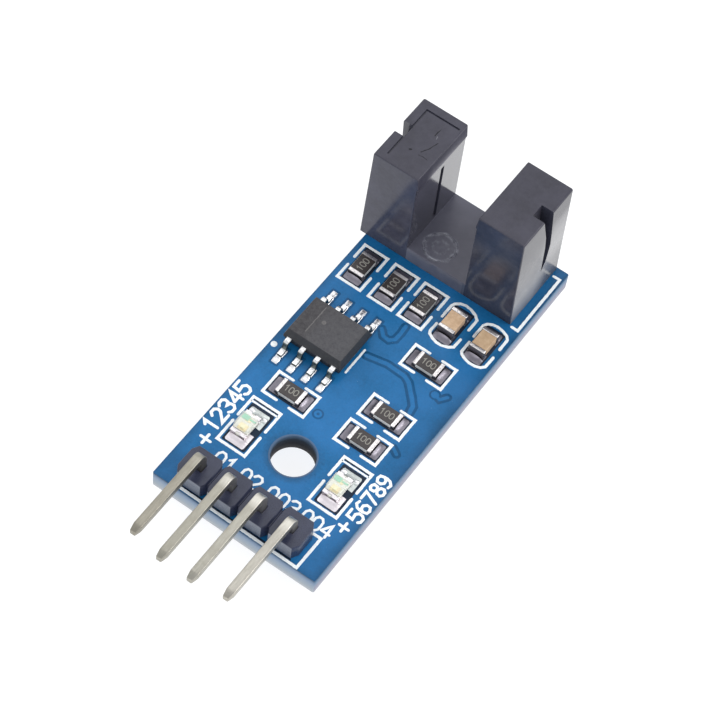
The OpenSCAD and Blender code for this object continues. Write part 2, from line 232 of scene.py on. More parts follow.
def mask_material(name, tint, dark=1.0):
    """Blue solder mask: a glossy film over laminate, with faint weave and mottling."""
    g = G(name, rough=0.34, spec=0.17, coat=0.08, coat_rough=0.12)
    a = tuple(c * dark for c in tint)
    lo = (a[0] * 0.5, a[1] * 0.84, a[2] * 0.80)
    hi = (a[0] * 2.2 + 0.004, a[1] * 1.22, a[2] * 1.18)
    n1 = g.noise(0.26, 3.0, 0.6)
    n2 = g.noise(6.0, 4.0, 0.7)
    col = g.mix(g.remap(n1, 0.3, 0.7, 0.0, 1.0), lo, hi)
    col = g.mix(g.remap(n2, 0.35, 0.75, 0.0, 0.36), col, tuple(c * 1.5 + 0.01 for c in a))
    # specks of dust in the film
    v = g.voronoi(1.6)
    speck = g.ramp(v, [(0.0, (1, 1, 1)), (0.03, (1, 1, 1)), (0.045, (0, 0, 0)), (1.0, (0, 0, 0))])
    col = g.mix(g.math("MULTIPLY", speck, 0.35), col, (0.25, 0.45, 0.62))
    # darker along the rim and towards the right-hand side
    (x0, y0, _), (x1, y1, _) = mmbox("pcb")
    x, y = g.axis(0), g.axis(1)
    near = g.math("MINIMUM", g.math("MINIMUM", g.math("SUBTRACT", x1, x), g.math("SUBTRACT", x, x0)),
                  g.math("MINIMUM", g.math("SUBTRACT", y1, y), g.math("SUBTRACT", y, y0)))
    near = g.math("ADD", near, g.remap(n1, 0.3, 0.7, -0.15, 0.15))
    k = g.math("MULTIPLY", g.ramp(near, [(0.0, (.66, .66, .66)), (0.22, (.84, .84, .84)), (0.7, (1, 1, 1))]),
               g.ramp(g.remap(x, 2.4, 6.8, 0.0, 1.0), [(0.0, (1, 1, 1)), (0.5, (.93, .93, .93)),
                                                       (0.72, (.87, .87, .87)), (1.0, (.74, .74, .74))]))
    col = g.mix(1.0, col, k, "MULTIPLY")
    # no copper under the mask round the mounting hole
    away = g.math("SQRT", g.math("ADD", g.math("MULTIPLY", x, x), g.math("MULTIPLY", y, y)))
    away = g.math("ADD", away, g.remap(n2, 0.3, 0.7, -0.08, 0.08))
    bare = g.ramp(g.remap(away, 1.6, 2.4, 0.0, 1.0), [(0.0, (1, 1, 1)), (0.30, (.8, .8, .8)), (0.8, (0, 0, 0))])
    bare = g.math("MULTIPLY", bare, g.remap(y, -0.2, 1.4, 1.0, 0.35))
    col = g.mix(bare, col, g.mix(1.0, col, (1.08, 0.68, 0.65), "MULTIPLY"))
    weave = g.math("ADD", g.wave(0.55, "X", 0.4, 1.0), g.wave(0.55, "Y", 0.4, 1.0))
    b = g.bump(weave, 0.004, 0.5)
    b = g.bump(g.noise(14.0, 3.0), 0.006, 0.5, b)
    g.set(Base_Color=col, Roughness=g.remap(n2, 0.3, 0.7, 0.26, 0.42), Normal=b)
    return g.m


IC = (-3.64, 8.95)
HX, HY = -0.76, 21.2
BLUE = (0.006, 0.122, 0.318)
M = {}
M["mask"] = mask_material("solder_mask_blue", BLUE)
M["mask_track"] = mask_material("solder_mask_over_track", BLUE, 1.05)
M["mask_gap"] = mask_material("solder_mask_over_bare_laminate", BLUE, 0.60)
M["mask_dark"] = mask_material("solder_mask_round_pads_and_header_shadow", (0.004, 0.016, 0.036))


def laminate_edge():
    """Sawn glass laminate: pale layers of cloth, a dark line under the mask. Paler low down, partly painted light from
    the floor, and the front and back ends painted paler than the sides: painted light by facing.
    """
    g = G("laminate_edge", rough=0.75, spec=0.3)
    z = g.axis(2)
    n = g.noise(1.0, 4.0, 0.65, g.stretch((1.2, 1.2, 9.0)))
    t = g.math("ADD", g.math("DIVIDE", z, BT), g.remap(n, 0.0, 1.0, -0.05, 0.05))
    # painted light: the ends facing front and back take the paler ramp, the sides the darker one
    ends = g.ramp(t, [(0.0, (0.20, 0.22, 0.25)), (0.06, (0.45, 0.47, 0.50)), (0.20, (0.35, 0.39, 0.43)),
                      (0.40, (0.29, 0.35, 0.42)), (0.60, (0.25, 0.32, 0.41)), (0.74, (0.20, 0.27, 0.39)),
                      (0.87, (0.14, 0.21, 0.32)), (0.95, (0.06, 0.11, 0.19)), (1.0, (0.03, 0.08, 0.15))])
    sides = g.ramp(t, [(0.0, (0.16, 0.17, 0.20)), (0.06, (0.34, 0.34, 0.40)), (0.30, (0.27, 0.27, 0.345)),
                       (0.50, (0.23, 0.265, 0.35)), (0.70, (0.15, 0.225, 0.34)), (0.87, (0.083, 0.165, 0.27)),
                       (0.95, (0.045, 0.11, 0.19)), (1.0, (0.03, 0.09, 0.17))])
    col = g.mix(g.math("GREATER_THAN", g.math("ABSOLUTE", g.normal(1)), 0.6), sides, ends)
    fib = g.wave(2.6, "Z", 3.0, 3.0)
    col = g.mix(g.remap(fib, 0.3, 0.9, 0.0, 0.14), col, (0.46, 0.50, 0.54))
    b = g.bump(g.noise(9.0, 5.0, 0.7, g.stretch((1, 1, 4))), 0.03, 0.8)
    return g.set(Base_Color=col, Normal=b).m


def hole_wall():
    g = G("drilled_laminate", rough=0.7, spec=0.14)
    n = g.noise(3.0, 4.0, 0.6, g.stretch((1, 1, 6.0)))
    # painted shade: the wall is near-black through its middle, the shade inside the hole; bluer at the top by the mask
    col = g.ramp(g.math("ADD", g.math("DIVIDE", g.axis(2), BT), g.remap(n, 0, 1, -0.08, 0.08)),
                 [(0.0, (0.058, 0.056, 0.058)), (0.4, (0.014, 0.017, 0.025)), (0.70, (0.016, 0.027, 0.045)),
                  (0.87, (0.055, 0.095, 0.155)), (1.0, (0.085, 0.140, 0.230))])
    return g.set(Base_Color=col, Normal=g.bump(n, 0.03, 0.7)).m


def moulded(name, base, rough, fine=26.0, depth=0.006, coat=0.0, spec=0.5, streak=0.0, coat_rough=0.08):
    """Black thermoplastic: fine mould texture, faint cloudiness and handling scuffs."""
    g = G(name, rough=rough, spec=spec, coat=coat, coat_rough=coat_rough)
    cloud = g.noise(0.5, 3.0, 0.6)
    grain = g.noise(fine, 3.0, 0.6)
    scuff = g.noise(2.2, 5.0, 0.75, g.stretch((1.0, 0.25, 0.6)), 1.2)
    hi = tuple(min(1.0, c * 1.35 + 0.004) for c in base)
    lo = tuple(c * 0.8 for c in base)
    col = g.mix(g.remap(cloud, 0.3, 0.7, 0.0, 1.0), lo, hi)
    col = g.mix(g.remap(scuff, 0.62, 0.8, 0.0, 0.10 + streak), col, (0.35, 0.35, 0.38))
    r = g.math("ADD", g.remap(grain, 0.3, 0.7, rough - 0.04, rough + 0.05),
               g.remap(scuff, 0.58, 0.8, 0.0, 0.16))
    b = g.bump(grain, depth, 0.6)
    b = g.bump(g.noise(1.1, 2.0), 0.02, 0.35, b)
    return g.set(Base_Color=col, Roughness=r, Normal=b).m


M["edge"] = laminate_edge()
M["hole"] = hole_wall()


def housing_plastic():
    """Black thermoplastic with a mottled round mould mark on the slot's floor, and painted light and shade on several
    of its faces.
    """
    base = (0.033, 0.032, 0.049)
    g = G("switch_black_plastic", rough=0.30, spec=0.34)
    cloud = g.noise(0.45, 3.0, 0.6)
    grain = g.noise(30.0, 3.0, 0.6)
    scuff = g.noise(2.2, 5.0, 0.75, g.stretch((1.0, 0.25, 0.6)), 1.2)
    col = g.mix(g.remap(cloud, 0.3, 0.7, 0.0, 1.0), tuple(c * 0.84 for c in base),
                tuple(c * 1.28 + 0.003 for c in base))
    col = g.mix(g.remap(scuff, 0.62, 0.8, 0.0, 0.08), col, (0.35, 0.35, 0.38))
    mottle = g.noise(2.8, 5.0, 0.75)
    col = g.mix(g.remap(mottle, 0.35, 0.70, 0.0, 0.15), col, (0.100, 0.100, 0.124))
    # round mould mark: paler broken rings, partly its own mottling and partly a painted highlight
    dx = g.math("SUBTRACT", g.axis(0), HX - 0.695)
    dy = g.math("SUBTRACT", g.axis(1), HY - 1.535)
    r = g.math("SQRT", g.math("ADD", g.math("MULTIPLY", dx, dx), g.math("MULTIPLY", dy, dy)))
    r = g.math("ADD", r, g.remap(g.noise(1.4, 2.0), 0.2, 0.8, -0.12, 0.12))
    rings = g.ramp(g.math("DIVIDE", r, 2.0),
                   [(0.0, (.3, .3, .3)), (0.16, (.1, .1, .1)), (0.27, (.55, .55, .55)), (0.36, (.1, .1, .1)),
                    (0.48, (.1, .1, .1)), (0.56, (.9, .9, .9)), (0.61, (1, 1, 1)), (0.70, (0, 0, 0))])
    z = g.axis(2)
    floor = g.math("MULTIPLY", g.math("GREATER_THAN", z, BT + 1.2), g.math("LESS_THAN", z, BT + 1.5))
    # painted light: the slot's floor and the bridge painted paler, offsetting the shade between the towers
    inside = g.math("LESS_THAN", g.math("ABSOLUTE", g.math("SUBTRACT", g.axis(0), HX)), 2.52)
    low = g.math("MULTIPLY", inside, g.math("LESS_THAN", z, BT + 1.5))
    col = g.mix(g.math("MULTIPLY", low, 0.75), col, g.mix(g.remap(cloud, 0.3, 0.7, 0.0, 1.0),
                                                         (0.080, 0.081, 0.110), (0.112, 0.113, 0.148)))
    broken = g.remap(g.noise(3.2, 4.0, 0.7), 0.38, 0.68, 0.0, 1.0)
    k = g.math("MULTIPLY", g.math("MULTIPLY", rings, floor), g.math("MULTIPLY", broken, 0.72))
    col = g.mix(k, col, (0.36, 0.37, 0.42))
    # painted shade: the tops painted a little darker than the other faces
    col = g.mix(g.math("GREATER_THAN", z, BT + 9.5), col, g.mix(1.0, col, (0.91, 0.91, 0.91), "MULTIPLY"))
    # front faces painted paler, and the right tower's front faces darker again: painted reflection by facing
    front = g.remap(g.normal(1, "True Normal"), -0.95, -0.6, 1.0, 0.0)
    right = g.math("GREATER_THAN", g.axis(0), HX + 2.3)
    col = g.mix(front, col, g.mix(1.0, col, (1.22, 1.28, 1.26), "MULTIPLY"))
    col = g.mix(g.math("MULTIPLY", front, right), col, g.mix(1.0, col, (0.76, 0.79, 0.80), "MULTIPLY"))
    # the slot's own walls are polished, the lips over them matt
    side = g.remap(g.math("ABSOLUTE", g.normal(0, "True Normal")), 0.97, 0.985, 0.0, 1.0)
    off = g.math("ABSOLUTE", g.math("SUBTRACT", g.axis(0), HX))
    near = g.math("MULTIPLY", side, g.math("LESS_THAN", off, 2.66))
    top = g.math("GREATER_THAN", z, BT + 9.6 - 1.27)
    lip = g.math("MULTIPLY", near, top)
    wall = g.math("SUBTRACT", near, lip)
    # painted highlight: the lips are painted paler down towards the wall, a painted glare, except at their front ends
    painted_glare = g.ramp(g.math("DIVIDE", g.math("ADD", z, -BT), 9.6),
                  [(0.862, (.19, .188, .198)), (0.885, (.150, .148, .158)), (0.915, (.062, .061, .068)),
                   (0.945, (.020, .020, .024)), (0.97, (.006, .006, .008)), (1.0, (0, 0, 0))])
    glare_reach = g.math("MULTIPLY", g.remap(g.axis(1), HY - 2.0, HY - 1.2, 0.0, 1.0), g.remap(mottle, 0.35, 0.65, 0.7, 1.15))
    glare_reach = g.math("MULTIPLY", glare_reach, g.remap(g.axis(1), HY + 1.2, HY + 2.6, 1.0, 0.35))
    col = g.mix(g.math("MULTIPLY", lip, glare_reach), col, g.mix(1.0, col, painted_glare, "ADD"))
    # the outer walls are glossy too, and painted pale, palest halfway up and towards the front: painted light from the
    # side
    outer = g.math("MULTIPLY", side, g.math("GREATER_THAN", off, 6.0))
    h = g.math("DIVIDE", g.math("ADD", z, -BT), 9.6)
    hc = g.math("ADD", h, g.remap(cloud, 0.3, 0.7, -0.04, 0.04))
    grey = lambda v: (v, v, v + 0.011)
    back = g.ramp(hc, [(t, grey(v)) for t, v in ((0.0, .070), (0.08, .085), (0.15, .125), (0.25, .145), (0.34, .165),
                                                 (0.45, .172), (0.60, .135), (0.75, .090), (0.84, .045), (1.0, .035))])
    fore = g.ramp(hc, [(t, grey(v)) for t, v in ((0.0, .150), (0.04, .190), (0.08, .205), (0.125, .235), (0.19, .248),
                                                 (0.25, .240), (0.33, .205), (0.42, .150), (0.50, .120), (0.58, .095),
                                                 (0.667, .074), (0.75, .060), (0.83, .052), (0.905, .056), (1.0, .040))])
    ahead = g.remap(g.axis(1), HY - 0.2, HY + 1.4, 1.0, 0.0)
    col = g.mix(outer, col, g.mix(ahead, back, fore))
    amount = g.ramp(h, [(0.0, (.04, .04, .04)), (0.28, (.08, .08, .08)), (0.45, (.42, .42, .42)),
                        (0.62, (.40, .40, .40)), (0.75, (.22, .22, .22)), (0.84, (0, 0, 0)), (1.0, (0, 0, 0))])
    amount = g.math("MULTIPLY", amount, g.remap(ahead, 0.0, 1.0, 1.0, 0.08))
    gloss = g.math("ADD", g.math("MULTIPLY", wall, 0.58), g.math("MULTIPLY", outer, amount))
    rough = g.math("ADD", g.remap(grain, 0.3, 0.7, 0.27, 0.35), g.remap(scuff, 0.58, 0.8, 0.0, 0.14))
    rough = g.math("SUBTRACT", rough, g.math("MULTIPLY", wall, 0.18))
    rough = g.math("SUBTRACT", rough, g.math("MULTIPLY", outer, 0.10))
    rough = g.math("ADD", rough, g.math("MULTIPLY", lip, 0.16))
    rough = g.math("SUBTRACT", rough, g.math("MULTIPLY", front, 0.17))
    level = g.math("ADD", g.remap(gloss, 0.0, 1.0, 0.34, 1.0), g.math("MULTIPLY", lip, -0.30))
    b = g.bump(grain, 0.002, 0.5)
    b = g.bump(g.noise(0.9, 2.0), 0.012, 0.3, b)
    return g.set(Base_Color=col, Roughness=rough, Normal=b, Coat_Weight=gloss, Specular_IOR_Level=level).m


M["housing"] = housing_plastic()
M["scuff"] = moulded("switch_plastic_scored", (0.010, 0.010, 0.013), 0.55, 30.0, 0.006, spec=0.2)
M["scuff_pale"] = moulded("switch_plastic_scuffed", (0.10, 0.10, 0.12), 0.45, 30.0, 0.006)


def header_plastic():
    """Black nylon, with its front faces painted paler: a painted reflection of the bright floor in front."""
    g = G("header_black_plastic", rough=0.30, spec=0.42, coat=0.1, coat_rough=0.14)
    grain = g.noise(22.0, 3.0, 0.6)
    cloud = g.noise(0.8, 4.0, 0.65)
    col = g.mix(g.remap(cloud, 0.3, 0.7, 0.0, 1.0), (0.016, 0.020, 0.044), (0.032, 0.038, 0.074))
    front = g.remap(g.normal(1), -0.97, -0.80, 1.0, 0.0)
    front_reflection = g.math("MULTIPLY", front, g.remap(cloud, 0.3, 0.65, 0.65, 1.0))
    col = g.mix(front_reflection, col, (0.125, 0.145, 0.190))
    return g.set(Base_Color=col, Roughness=g.remap(grain, 0.3, 0.7, 0.24, 0.36),
                 Normal=g.bump(grain, 0.006, 0.6)).m


M["header"] = header_plastic()


def compound():
    """Moulding compound: matt, with fine grain; browner towards the end with the bar."""
    g = G("package_moulding_compound", rough=0.5, spec=0.42)
    grain = g.noise(34.0, 3.0, 0.6)
    cloud = g.noise(0.7, 3.0, 0.6)
    col = g.ramp(g.remap(g.axis(0), IC[0] - 2.4, IC[0] + 2.4, 0.0, 1.0),
                 [(0.0, (0.032, 0.029, 0.033)), (0.24, (0.036, 0.033, 0.038)), (0.38, (0.056, 0.055, 0.063)),
                  (0.9, (0.060, 0.061, 0.070)), (1.0, (0.034, 0.036, 0.042))])
    col = g.mix(g.remap(cloud, 0.3, 0.7, 0.0, 0.35), col, (0.030, 0.029, 0.032))
    col = g.mix(g.remap(grain, 0.55, 0.8, 0.0, 0.5), col, (0.10, 0.10, 0.105))
    mottle = g.noise(4.5, 4.0, 0.75)
    col = g.mix(g.remap(mottle, 0.38, 0.68, 0.0, 0.42), col, (0.108, 0.106, 0.108))
    col = g.mix(g.remap(mottle, 0.42, 0.28, 0.0, 0.40), col, (0.022, 0.020, 0.022))
    # painted shade: the sides painted darker than the top
    side = g.remap(g.normal(2), 0.5, 0.95, 0.75, 0.0)
    col = g.mix(side, col, (0.016, 0.018, 0.021))
    return g.set(Base_Color=col, Roughness=g.remap(grain, 0.3, 0.7, 0.44, 0.60),
                 Normal=g.bump(grain, 0.018, 0.6)).m


M["ic"] = compound()
M["glaze"] = moulded("resistor_glaze", (0.026, 0.020, 0.020), 0.30, 30.0, 0.006)
M["alumina"] = moulded("resistor_ceramic", (0.55, 0.55, 0.53), 0.6, 30.0, 0.006)


def ink(name, base, rough=0.55):
    """Screen-printed ink, slightly uneven in cover."""
    g = G(name, rough=rough, spec=0.4)
    n = g.noise(7.0, 4.0, 0.7)
    col = g.mix(g.remap(n, 0.35, 0.75, 0.0, 1.0), base, tuple(c * 0.82 for c in base))
    return g.set(Base_Color=col, Normal=g.bump(g.noise(18.0, 3.0), 0.008, 0.6)).m


M["silk"] = ink("screen_print_white", (0.93, 0.97, 0.98))
M["ic_ink"] = ink("laser_mark_grey", (0.135, 0.13, 0.13), 0.7)
M["res_ink"] = ink("resistor_mark_grey", (0.28, 0.27, 0.24))


def metal(name, base, rough, brush=(1, 1, 1), grime=(0.2, 0.19, 0.17), amount=0.25, dent=0.006, scale=5.0):
    g = G(name, rough=rough, metal=1.0)
    n = g.noise(scale, 4.0, 0.65, g.stretch(brush))
    c = g.noise(1.3, 3.0, 0.6)
    col = g.mix(g.remap(n, 0.35, 0.75, 0.0, 0.6), base, tuple(x * 0.82 for x in base))
    col = g.mix(g.remap(c, 0.52, 0.8, 0.0, amount), col, grime)
    return g.set(Base_Color=col, Roughness=g.remap(n, 0.3, 0.7, rough * 0.75, rough * 1.35),
                 Normal=g.bump(n, dent, 0.7)).m


def pin_metal():
    """Drawn tinned pins: darker towards the left, with a painted highlight over the bend."""
    g = G("tinned_brass_pin", rough=0.34, metal=1.0)
    n = g.noise(2.2, 4.0, 0.65, g.stretch((9.0, 0.5, 2.0)))
    c = g.noise(1.3, 3.0, 0.6)
    x, y = g.axis(0), g.axis(1)
    col = g.ramp(g.remap(x, -4.2, 3.6, 0.0, 1.0),
                 [(0.0, (0.320, 0.300, 0.250)), (0.5, (0.370, 0.358, 0.307)), (1.0, (0.450, 0.430, 0.380))])
    # painted highlight over the bend
    bend = g.math("MULTIPLY", g.remap(y, -6.5, -5.9, 0.0, 1.0), g.remap(x, -3.6, -0.6, 0.1, 1.0))
    col = g.mix(bend, col, (0.62, 0.60, 0.54))
    col = g.mix(g.remap(n, 0.35, 0.75, 0.0, 0.6), col, g.mix(1.0, col, (0.8, 0.8, 0.79), "MULTIPLY"))
    col = g.mix(g.remap(c, 0.52, 0.8, 0.0, 0.4), col, (0.24, 0.22, 0.175))
    return g.set(Base_Color=col, Roughness=g.remap(n, 0.3, 0.7, 0.26, 0.46), Normal=g.bump(n, 0.007, 0.7)).m


M["pin"] = pin_metal()


def end_cap(name, top, side):
    """Tin, painted bright where it faces up and dark down the chip's ends: a painted reflection by facing."""
    g = G(name, rough=0.3, metal=1.0)
    n = g.noise(9.0, 4.0, 0.65)
    # painted reflection: lighter where the surface faces up
    up = g.remap(g.normal(2), 0.55, 0.9, 0.0, 1.0)
    col = g.mix(up, side, top)
    col = g.mix(g.remap(n, 0.4, 0.75, 0.0, 0.55), col, tuple(c * 0.72 for c in side))
    return g.set(Base_Color=col, Roughness=g.remap(n, 0.3, 0.7, 0.24, 0.42), Normal=g.bump(n, 0.014, 0.7)).m


M["cap"] = end_cap("tinned_end_cap", (0.90, 0.86, 0.85), (0.17, 0.16, 0.17))
M["lead"] = end_cap("tinned_package_lead", (0.96, 0.96, 0.96), (0.13, 0.15, 0.14))
M["cap_led"] = end_cap("led_tinned_contact", (0.88, 0.84, 0.86), (0.62, 0.58, 0.60))
M["pad"] = metal("dull_solder_on_pad", (0.25, 0.235, 0.27), 0.34, (1, 1, 1), (0.09, 0.09, 0.11), 0.5, 0.020, 5.0)
M["pad_bright"] = metal("bright_solder_on_pad", (0.92, 0.92, 0.93), 0.30, (1, 1, 1), (0.50, 0.50, 0.53), 0.3, 0.018, 4.0)
M["pad_led"] = metal("lumpy_solder_on_pad", (0.88, 0.82, 0.85), 0.34, (1, 1, 1), (0.46, 0.43, 0.45), 0.4, 0.045, 2.6)
M["pad_led_grey"] = metal("lumpy_grey_solder", (0.60, 0.64, 0.62), 0.34, (1, 1, 1), (0.30, 0.34, 0.32), 0.5, 0.045, 2.6)
M["joint"] = metal("bright_solder", (0.62, 0.62, 0.63), 0.24, (1, 1, 1), (0.30, 0.29, 0.28), 0.35, 0.014, 5.0)
M["wire"] = metal("opto_lead_wire", (0.70, 0.69, 0.67), 0.3, (6.0, 6.0, 0.6), (0.35, 0.33, 0.3), 0.3, 0.006, 3.0)
M["gold"] = metal("led_gold_pad", (0.86, 0.70, 0.34), 0.25, (1, 1, 1), (0.5, 0.42, 0.25), 0.3, 0.008, 9.0)


def ceramic():
    g = G("capacitor_tan_ceramic", rough=0.5, spec=0.45)
    n = g.noise(3.0, 5.0, 0.7)
    f = g.noise(24.0, 3.0, 0.6)
    col = g.ramp(n, [(0.25, (0.46, 0.30, 0.18)), (0.5, (0.57, 0.39, 0.245)), (0.75, (0.68, 0.50, 0.33))])
    col = g.mix(g.remap(f, 0.6, 0.8, 0.0, 0.4), col, (0.78, 0.60, 0.42))
    # the right-hand capacitor is a little darker
    col = g.mix(g.remap(g.axis(0), 3.8, 4.2, 0.0, 1.0), col, g.mix(1.0, col, (0.84, 0.85, 0.83), "MULTIPLY"))
    return g.set(Base_Color=col, Normal=g.bump(f, 0.012, 0.7)).m


def clear_lens():
    g = G("led_clear_resin", base=(0.93, 0.94, 0.86), rough=0.10, ior=1.5)
    g.b.inputs["Alpha"].default_value = 0.34
    n = g.noise(5.0, 3.0, 0.6)
    return g.set(Roughness=g.remap(n, 0.3, 0.7, 0.06, 0.16),
                 Normal=g.bump(g.noise(4.0, 2.0), 0.010, 0.5)).m


def tinted(name, base, rough=0.2):
    g = G(name, base=base, rough=rough, coat=0.3)
    n = g.noise(3.0, 3.0, 0.6)
    return g.set(Base_Color=g.mix(n, base, tuple(min(1, c * 1.5 + 0.01) for c in base)),
                 Normal=g.bump(n, 0.01, 0.4)).m


M["tan"] = ceramic()
M["lens"] = clear_lens()
M["led_white"] = ink("led_white_laminate", (0.86, 0.85, 0.78), 0.4)
M["led_green"] = ink("led_green_mark", (0.07, 0.56, 0.33), 0.35)
# a painted shadow where the LED's body meets its contact
M["led_brown"] = ink("led_brown_edge", (0.10, 0.055, 0.035), 0.5)
M["die"] = tinted("led_die", (0.85, 0.72, 0.38))
M["emitter"] = tinted("emitter_blue_resin", (0.30, 0.42, 0.62))
M["detector"] = tinted("detector_dark_resin", (0.015, 0.008, 0.02))


# =====================================================================
# mesh helpers, in millimetres
# =====================================================================
def finish_piece(name, bm, mats, replaces=(), sharp=32.0, bevel=0.0, seg=2, wn=False, recalc=True):
    if recalc:
        bmesh.ops.recalc_face_normals(bm, faces=bm.faces[:])
    me = bpy.data.meshes.new(name)
    bm.to_mesh(me)
    bm.free()
    me.transform(Matrix.Scale(MM, 4))
    for m in mats:
        me.materials.append(m)
    me.polygons.foreach_set("use_smooth", [True] * len(me.polygons))
    me.set_sharp_from_angle(angle=math.radians(sharp))
    ob = bpy.data.objects.new(name, me)
    COLL.objects.link(ob)
    if bevel:
        b = ob.modifiers.new("edge", "BEVEL")
        b.width = bevel * MM
        b.segments = seg
        b.limit_method = "ANGLE"
        b.angle_limit = math.radians(35)
        b.harden_normals = True
    if wn:
        w = ob.modifiers.new("wn", "WEIGHTED_NORMAL")
        w.keep_sharp = True
    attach(ob, "root")
    if replaces:
        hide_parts(*replaces)
    return ob


def offset(pts, d):
    """Moves a loop's edges to their left by d (inwards where it runs anticlockwise)."""
    out = []
    n = len(pts)
    for i in range(n):
        a, b, c = Vector(pts[i - 1]), Vector(pts[i]), Vector(pts[(i + 1) % n])
        e1, e2 = (b - a).normalized(), (c - b).normalized()
        n1, n2 = Vector((-e1.y, e1.x)), Vector((-e2.y, e2.x))
        out.append(b + (n1 + n2) * (d / max(1.0 + n1.dot(n2), 0.25)))
    return out


def rim(z0, z1, b0, b1, seg=3):
    """(inset, z) steps up a side with rounded lower and upper edges."""
    out = []
    for k in range(seg + 1 if b0 else 1):
        a = k / seg * math.pi / 2 if b0 else 0
        out.append((b0 * (1 - math.sin(a)), z0 + b0 * (1 - math.cos(a))))
    for k in range(seg + 1 if b1 else 1):
        a = k / seg * math.pi / 2 if b1 else 0
        out.append((b1 * (1 - math.cos(a)), z1 - b1 * (1 - math.sin(a))))
    return out


def add_solid(bm, outer, holes, z0, z1, b0=0.0, b1=0.0, seg=3, mi=0, side_mi=None, to=None):
    """A plate with holes and rounded rims. outer runs anticlockwise and holes clockwise.
    side_mi gives the material of each loop's wall. to places a point."""
    to = to or (lambda v: v)
    steps = rim(z0, z1, b0, b1, seg)
    ends = [[], []]
    for li, loop in enumerate([outer] + list(holes)):
        rings = []
        for ins, z in steps:
            pts = offset(loop, ins)
            rings.append([bm.verts.new(to(Vector((p.x, p.y, z)))) for p in pts])
        n = len(loop)
        for a, b in zip(rings, rings[1:]):
            for i in range(n):
                j = (i + 1) % n
                f = bm.faces.new((a[i], a[j], b[j], b[i]))
                f.material_index = side_mi[li] if side_mi else mi
        for k, ring in ((0, rings[0]), (1, rings[-1])):
            for i in range(n):
                e = bm.edges.get((ring[i], ring[(i + 1) % n]))
                ends[k].append(e)
    for k in (0, 1):
        r = bmesh.ops.triangle_fill(bm, edges=ends[k], use_beauty=True, use_dissolve=False)
        for f in r["geom"]:
            if isinstance(f, bmesh.types.BMFace):
                f.material_index = mi


def circle(x, y, r, n=48, cw=False):
    s = -1 if cw else 1
    return [(x + r * math.cos(s * 2 * math.pi * k / n), y + r * math.sin(s * 2 * math.pi * k / n)) for k in range(n)]


def rrect(cx, cy, hx, hy, r=0.0, n=4):
    if r <= 0:
        return [(cx - hx, cy - hy), (cx + hx, cy - hy), (cx + hx, cy + hy), (cx - hx, cy + hy)]
    pts = []
    for sx, sy, a0 in ((1, -1, -90), (1, 1, 0), (-1, 1, 90), (-1, -1, 180)):
        for k in range(n + 1):
            a = math.radians(a0 + 90 * k / n)
            pts.append((cx + sx * (hx - r) + r * math.cos(a), cy + sy * (hy - r) + r * math.sin(a)))
    return pts


def add_loft(bm, rings, mi=0, caps=True, closed=False):
    """Joins rings of points, each ring a closed loop with the same count."""
    vs = [[bm.verts.new(p) for p in r] for r in rings]
    n = len(vs[0])
    pairs = list(zip(vs, vs[1:])) + ([(vs[-1], vs[0])] if closed else [])
    for a, b in pairs:
        for i in range(n):
            j = (i + 1) % n
            bm.faces.new((a[i], a[j], b[j], b[i])).material_index = mi
    if caps and not closed:
        bm.faces.new(list(reversed(vs[0]))).material_index = mi
        bm.faces.new(vs[-1]).material_index = mi


def add_block(bm, lo, hi, r=0.05, n=3, mi=0, turn=None):
    """A box with every edge rounded: lofted sections of rounded rectangles."""
    cx, cy = (lo[0] + hi[0]) / 2, (lo[1] + hi[1]) / 2
    hx, hy = (hi[0] - lo[0]) / 2, (hi[1] - lo[1]) / 2
    rings = []
    for ins, z in rim(lo[2], hi[2], r, r, n):
        ring = [Vector((x, y, z)) for x, y in rrect(cx, cy, hx - ins, hy - ins, max(r - ins, 0.004), n)]
        rings.append([turn @ v if turn else v for v in ring])
    add_loft(bm, rings, mi)


def ribbon(bm, path, width, z0, z1, closed=False, mi=0, rnd=None, step=0.18, wob=0.0, taper=0.012, cap=True):
    """A raised line along a path of plan points, round-ended, with slightly uneven edges."""
    pts = [Vector((p[0], p[1])) for p in path]
    fine = []
    m = len(pts)
    for i in range(m if closed else m - 1):
        a, b = pts[i], pts[(i + 1) % m]
        k = max(1, int((b - a).length / step))
        for j in range(k):
            fine.append(a.lerp(b, j / k))
    if not closed:
        fine.append(pts[-1])
    n = len(fine)
    secs = []
    for i, p in enumerate(fine):
        a = fine[i - 1] if (i > 0 or closed) else None
        b = fine[(i + 1) % n] if (i < n - 1 or closed) else None
        e1 = (p - a).normalized() if a is not None else (b - p).normalized()
        e2 = (b - p).normalized() if b is not None else e1
        n1, n2 = Vector((-e1.y, e1.x)), Vector((-e2.y, e2.x))
        miter = (n1 + n2) / max(1.0 + n1.dot(n2), 0.3)
        w = width / 2
        wl = w + (rnd.uniform(-wob, wob) if rnd else 0)
        wr = w + (rnd.uniform(-wob, wob) if rnd else 0)
        secs.append((p + miter * wl, p - miter * wr))
    if not closed and cap:
        def fan(p, d, sec, rev):
            nrm = Vector((-d.y, d.x))
            out = []
            for a in (30, 60, 84):
                a = math.radians(a)
                c = p + d * (width / 2 * math.sin(a))
                out.append((c + nrm * width / 2 * math.cos(a), c - nrm * width / 2 * math.cos(a)))
            if rev:
                out = [(b, a) for a, b in out]
                out.reverse()
            return out
        d0 = (fine[0] - fine[1]).normalized()
        d1 = (fine[-1] - fine[-2]).normalized()
        secs = fan(fine[0], d0, secs[0], True) + secs + fan(fine[-1], d1, secs[-1], False)
    rings = []
    for l, r in secs:
        c = (l + r) / 2
        k = max(0.0, 1 - taper / max((l - r).length / 2, 1e-6))
        lt, rt = c + (l - c) * k, c + (r - c) * k
        rings.append([Vector((r.x, r.y, z0)), Vector((l.x, l.y, z0)), Vector((lt.x, lt.y, z1)), Vector((rt.x, rt.y, z1))])
    add_loft(bm, rings, mi, closed=closed)


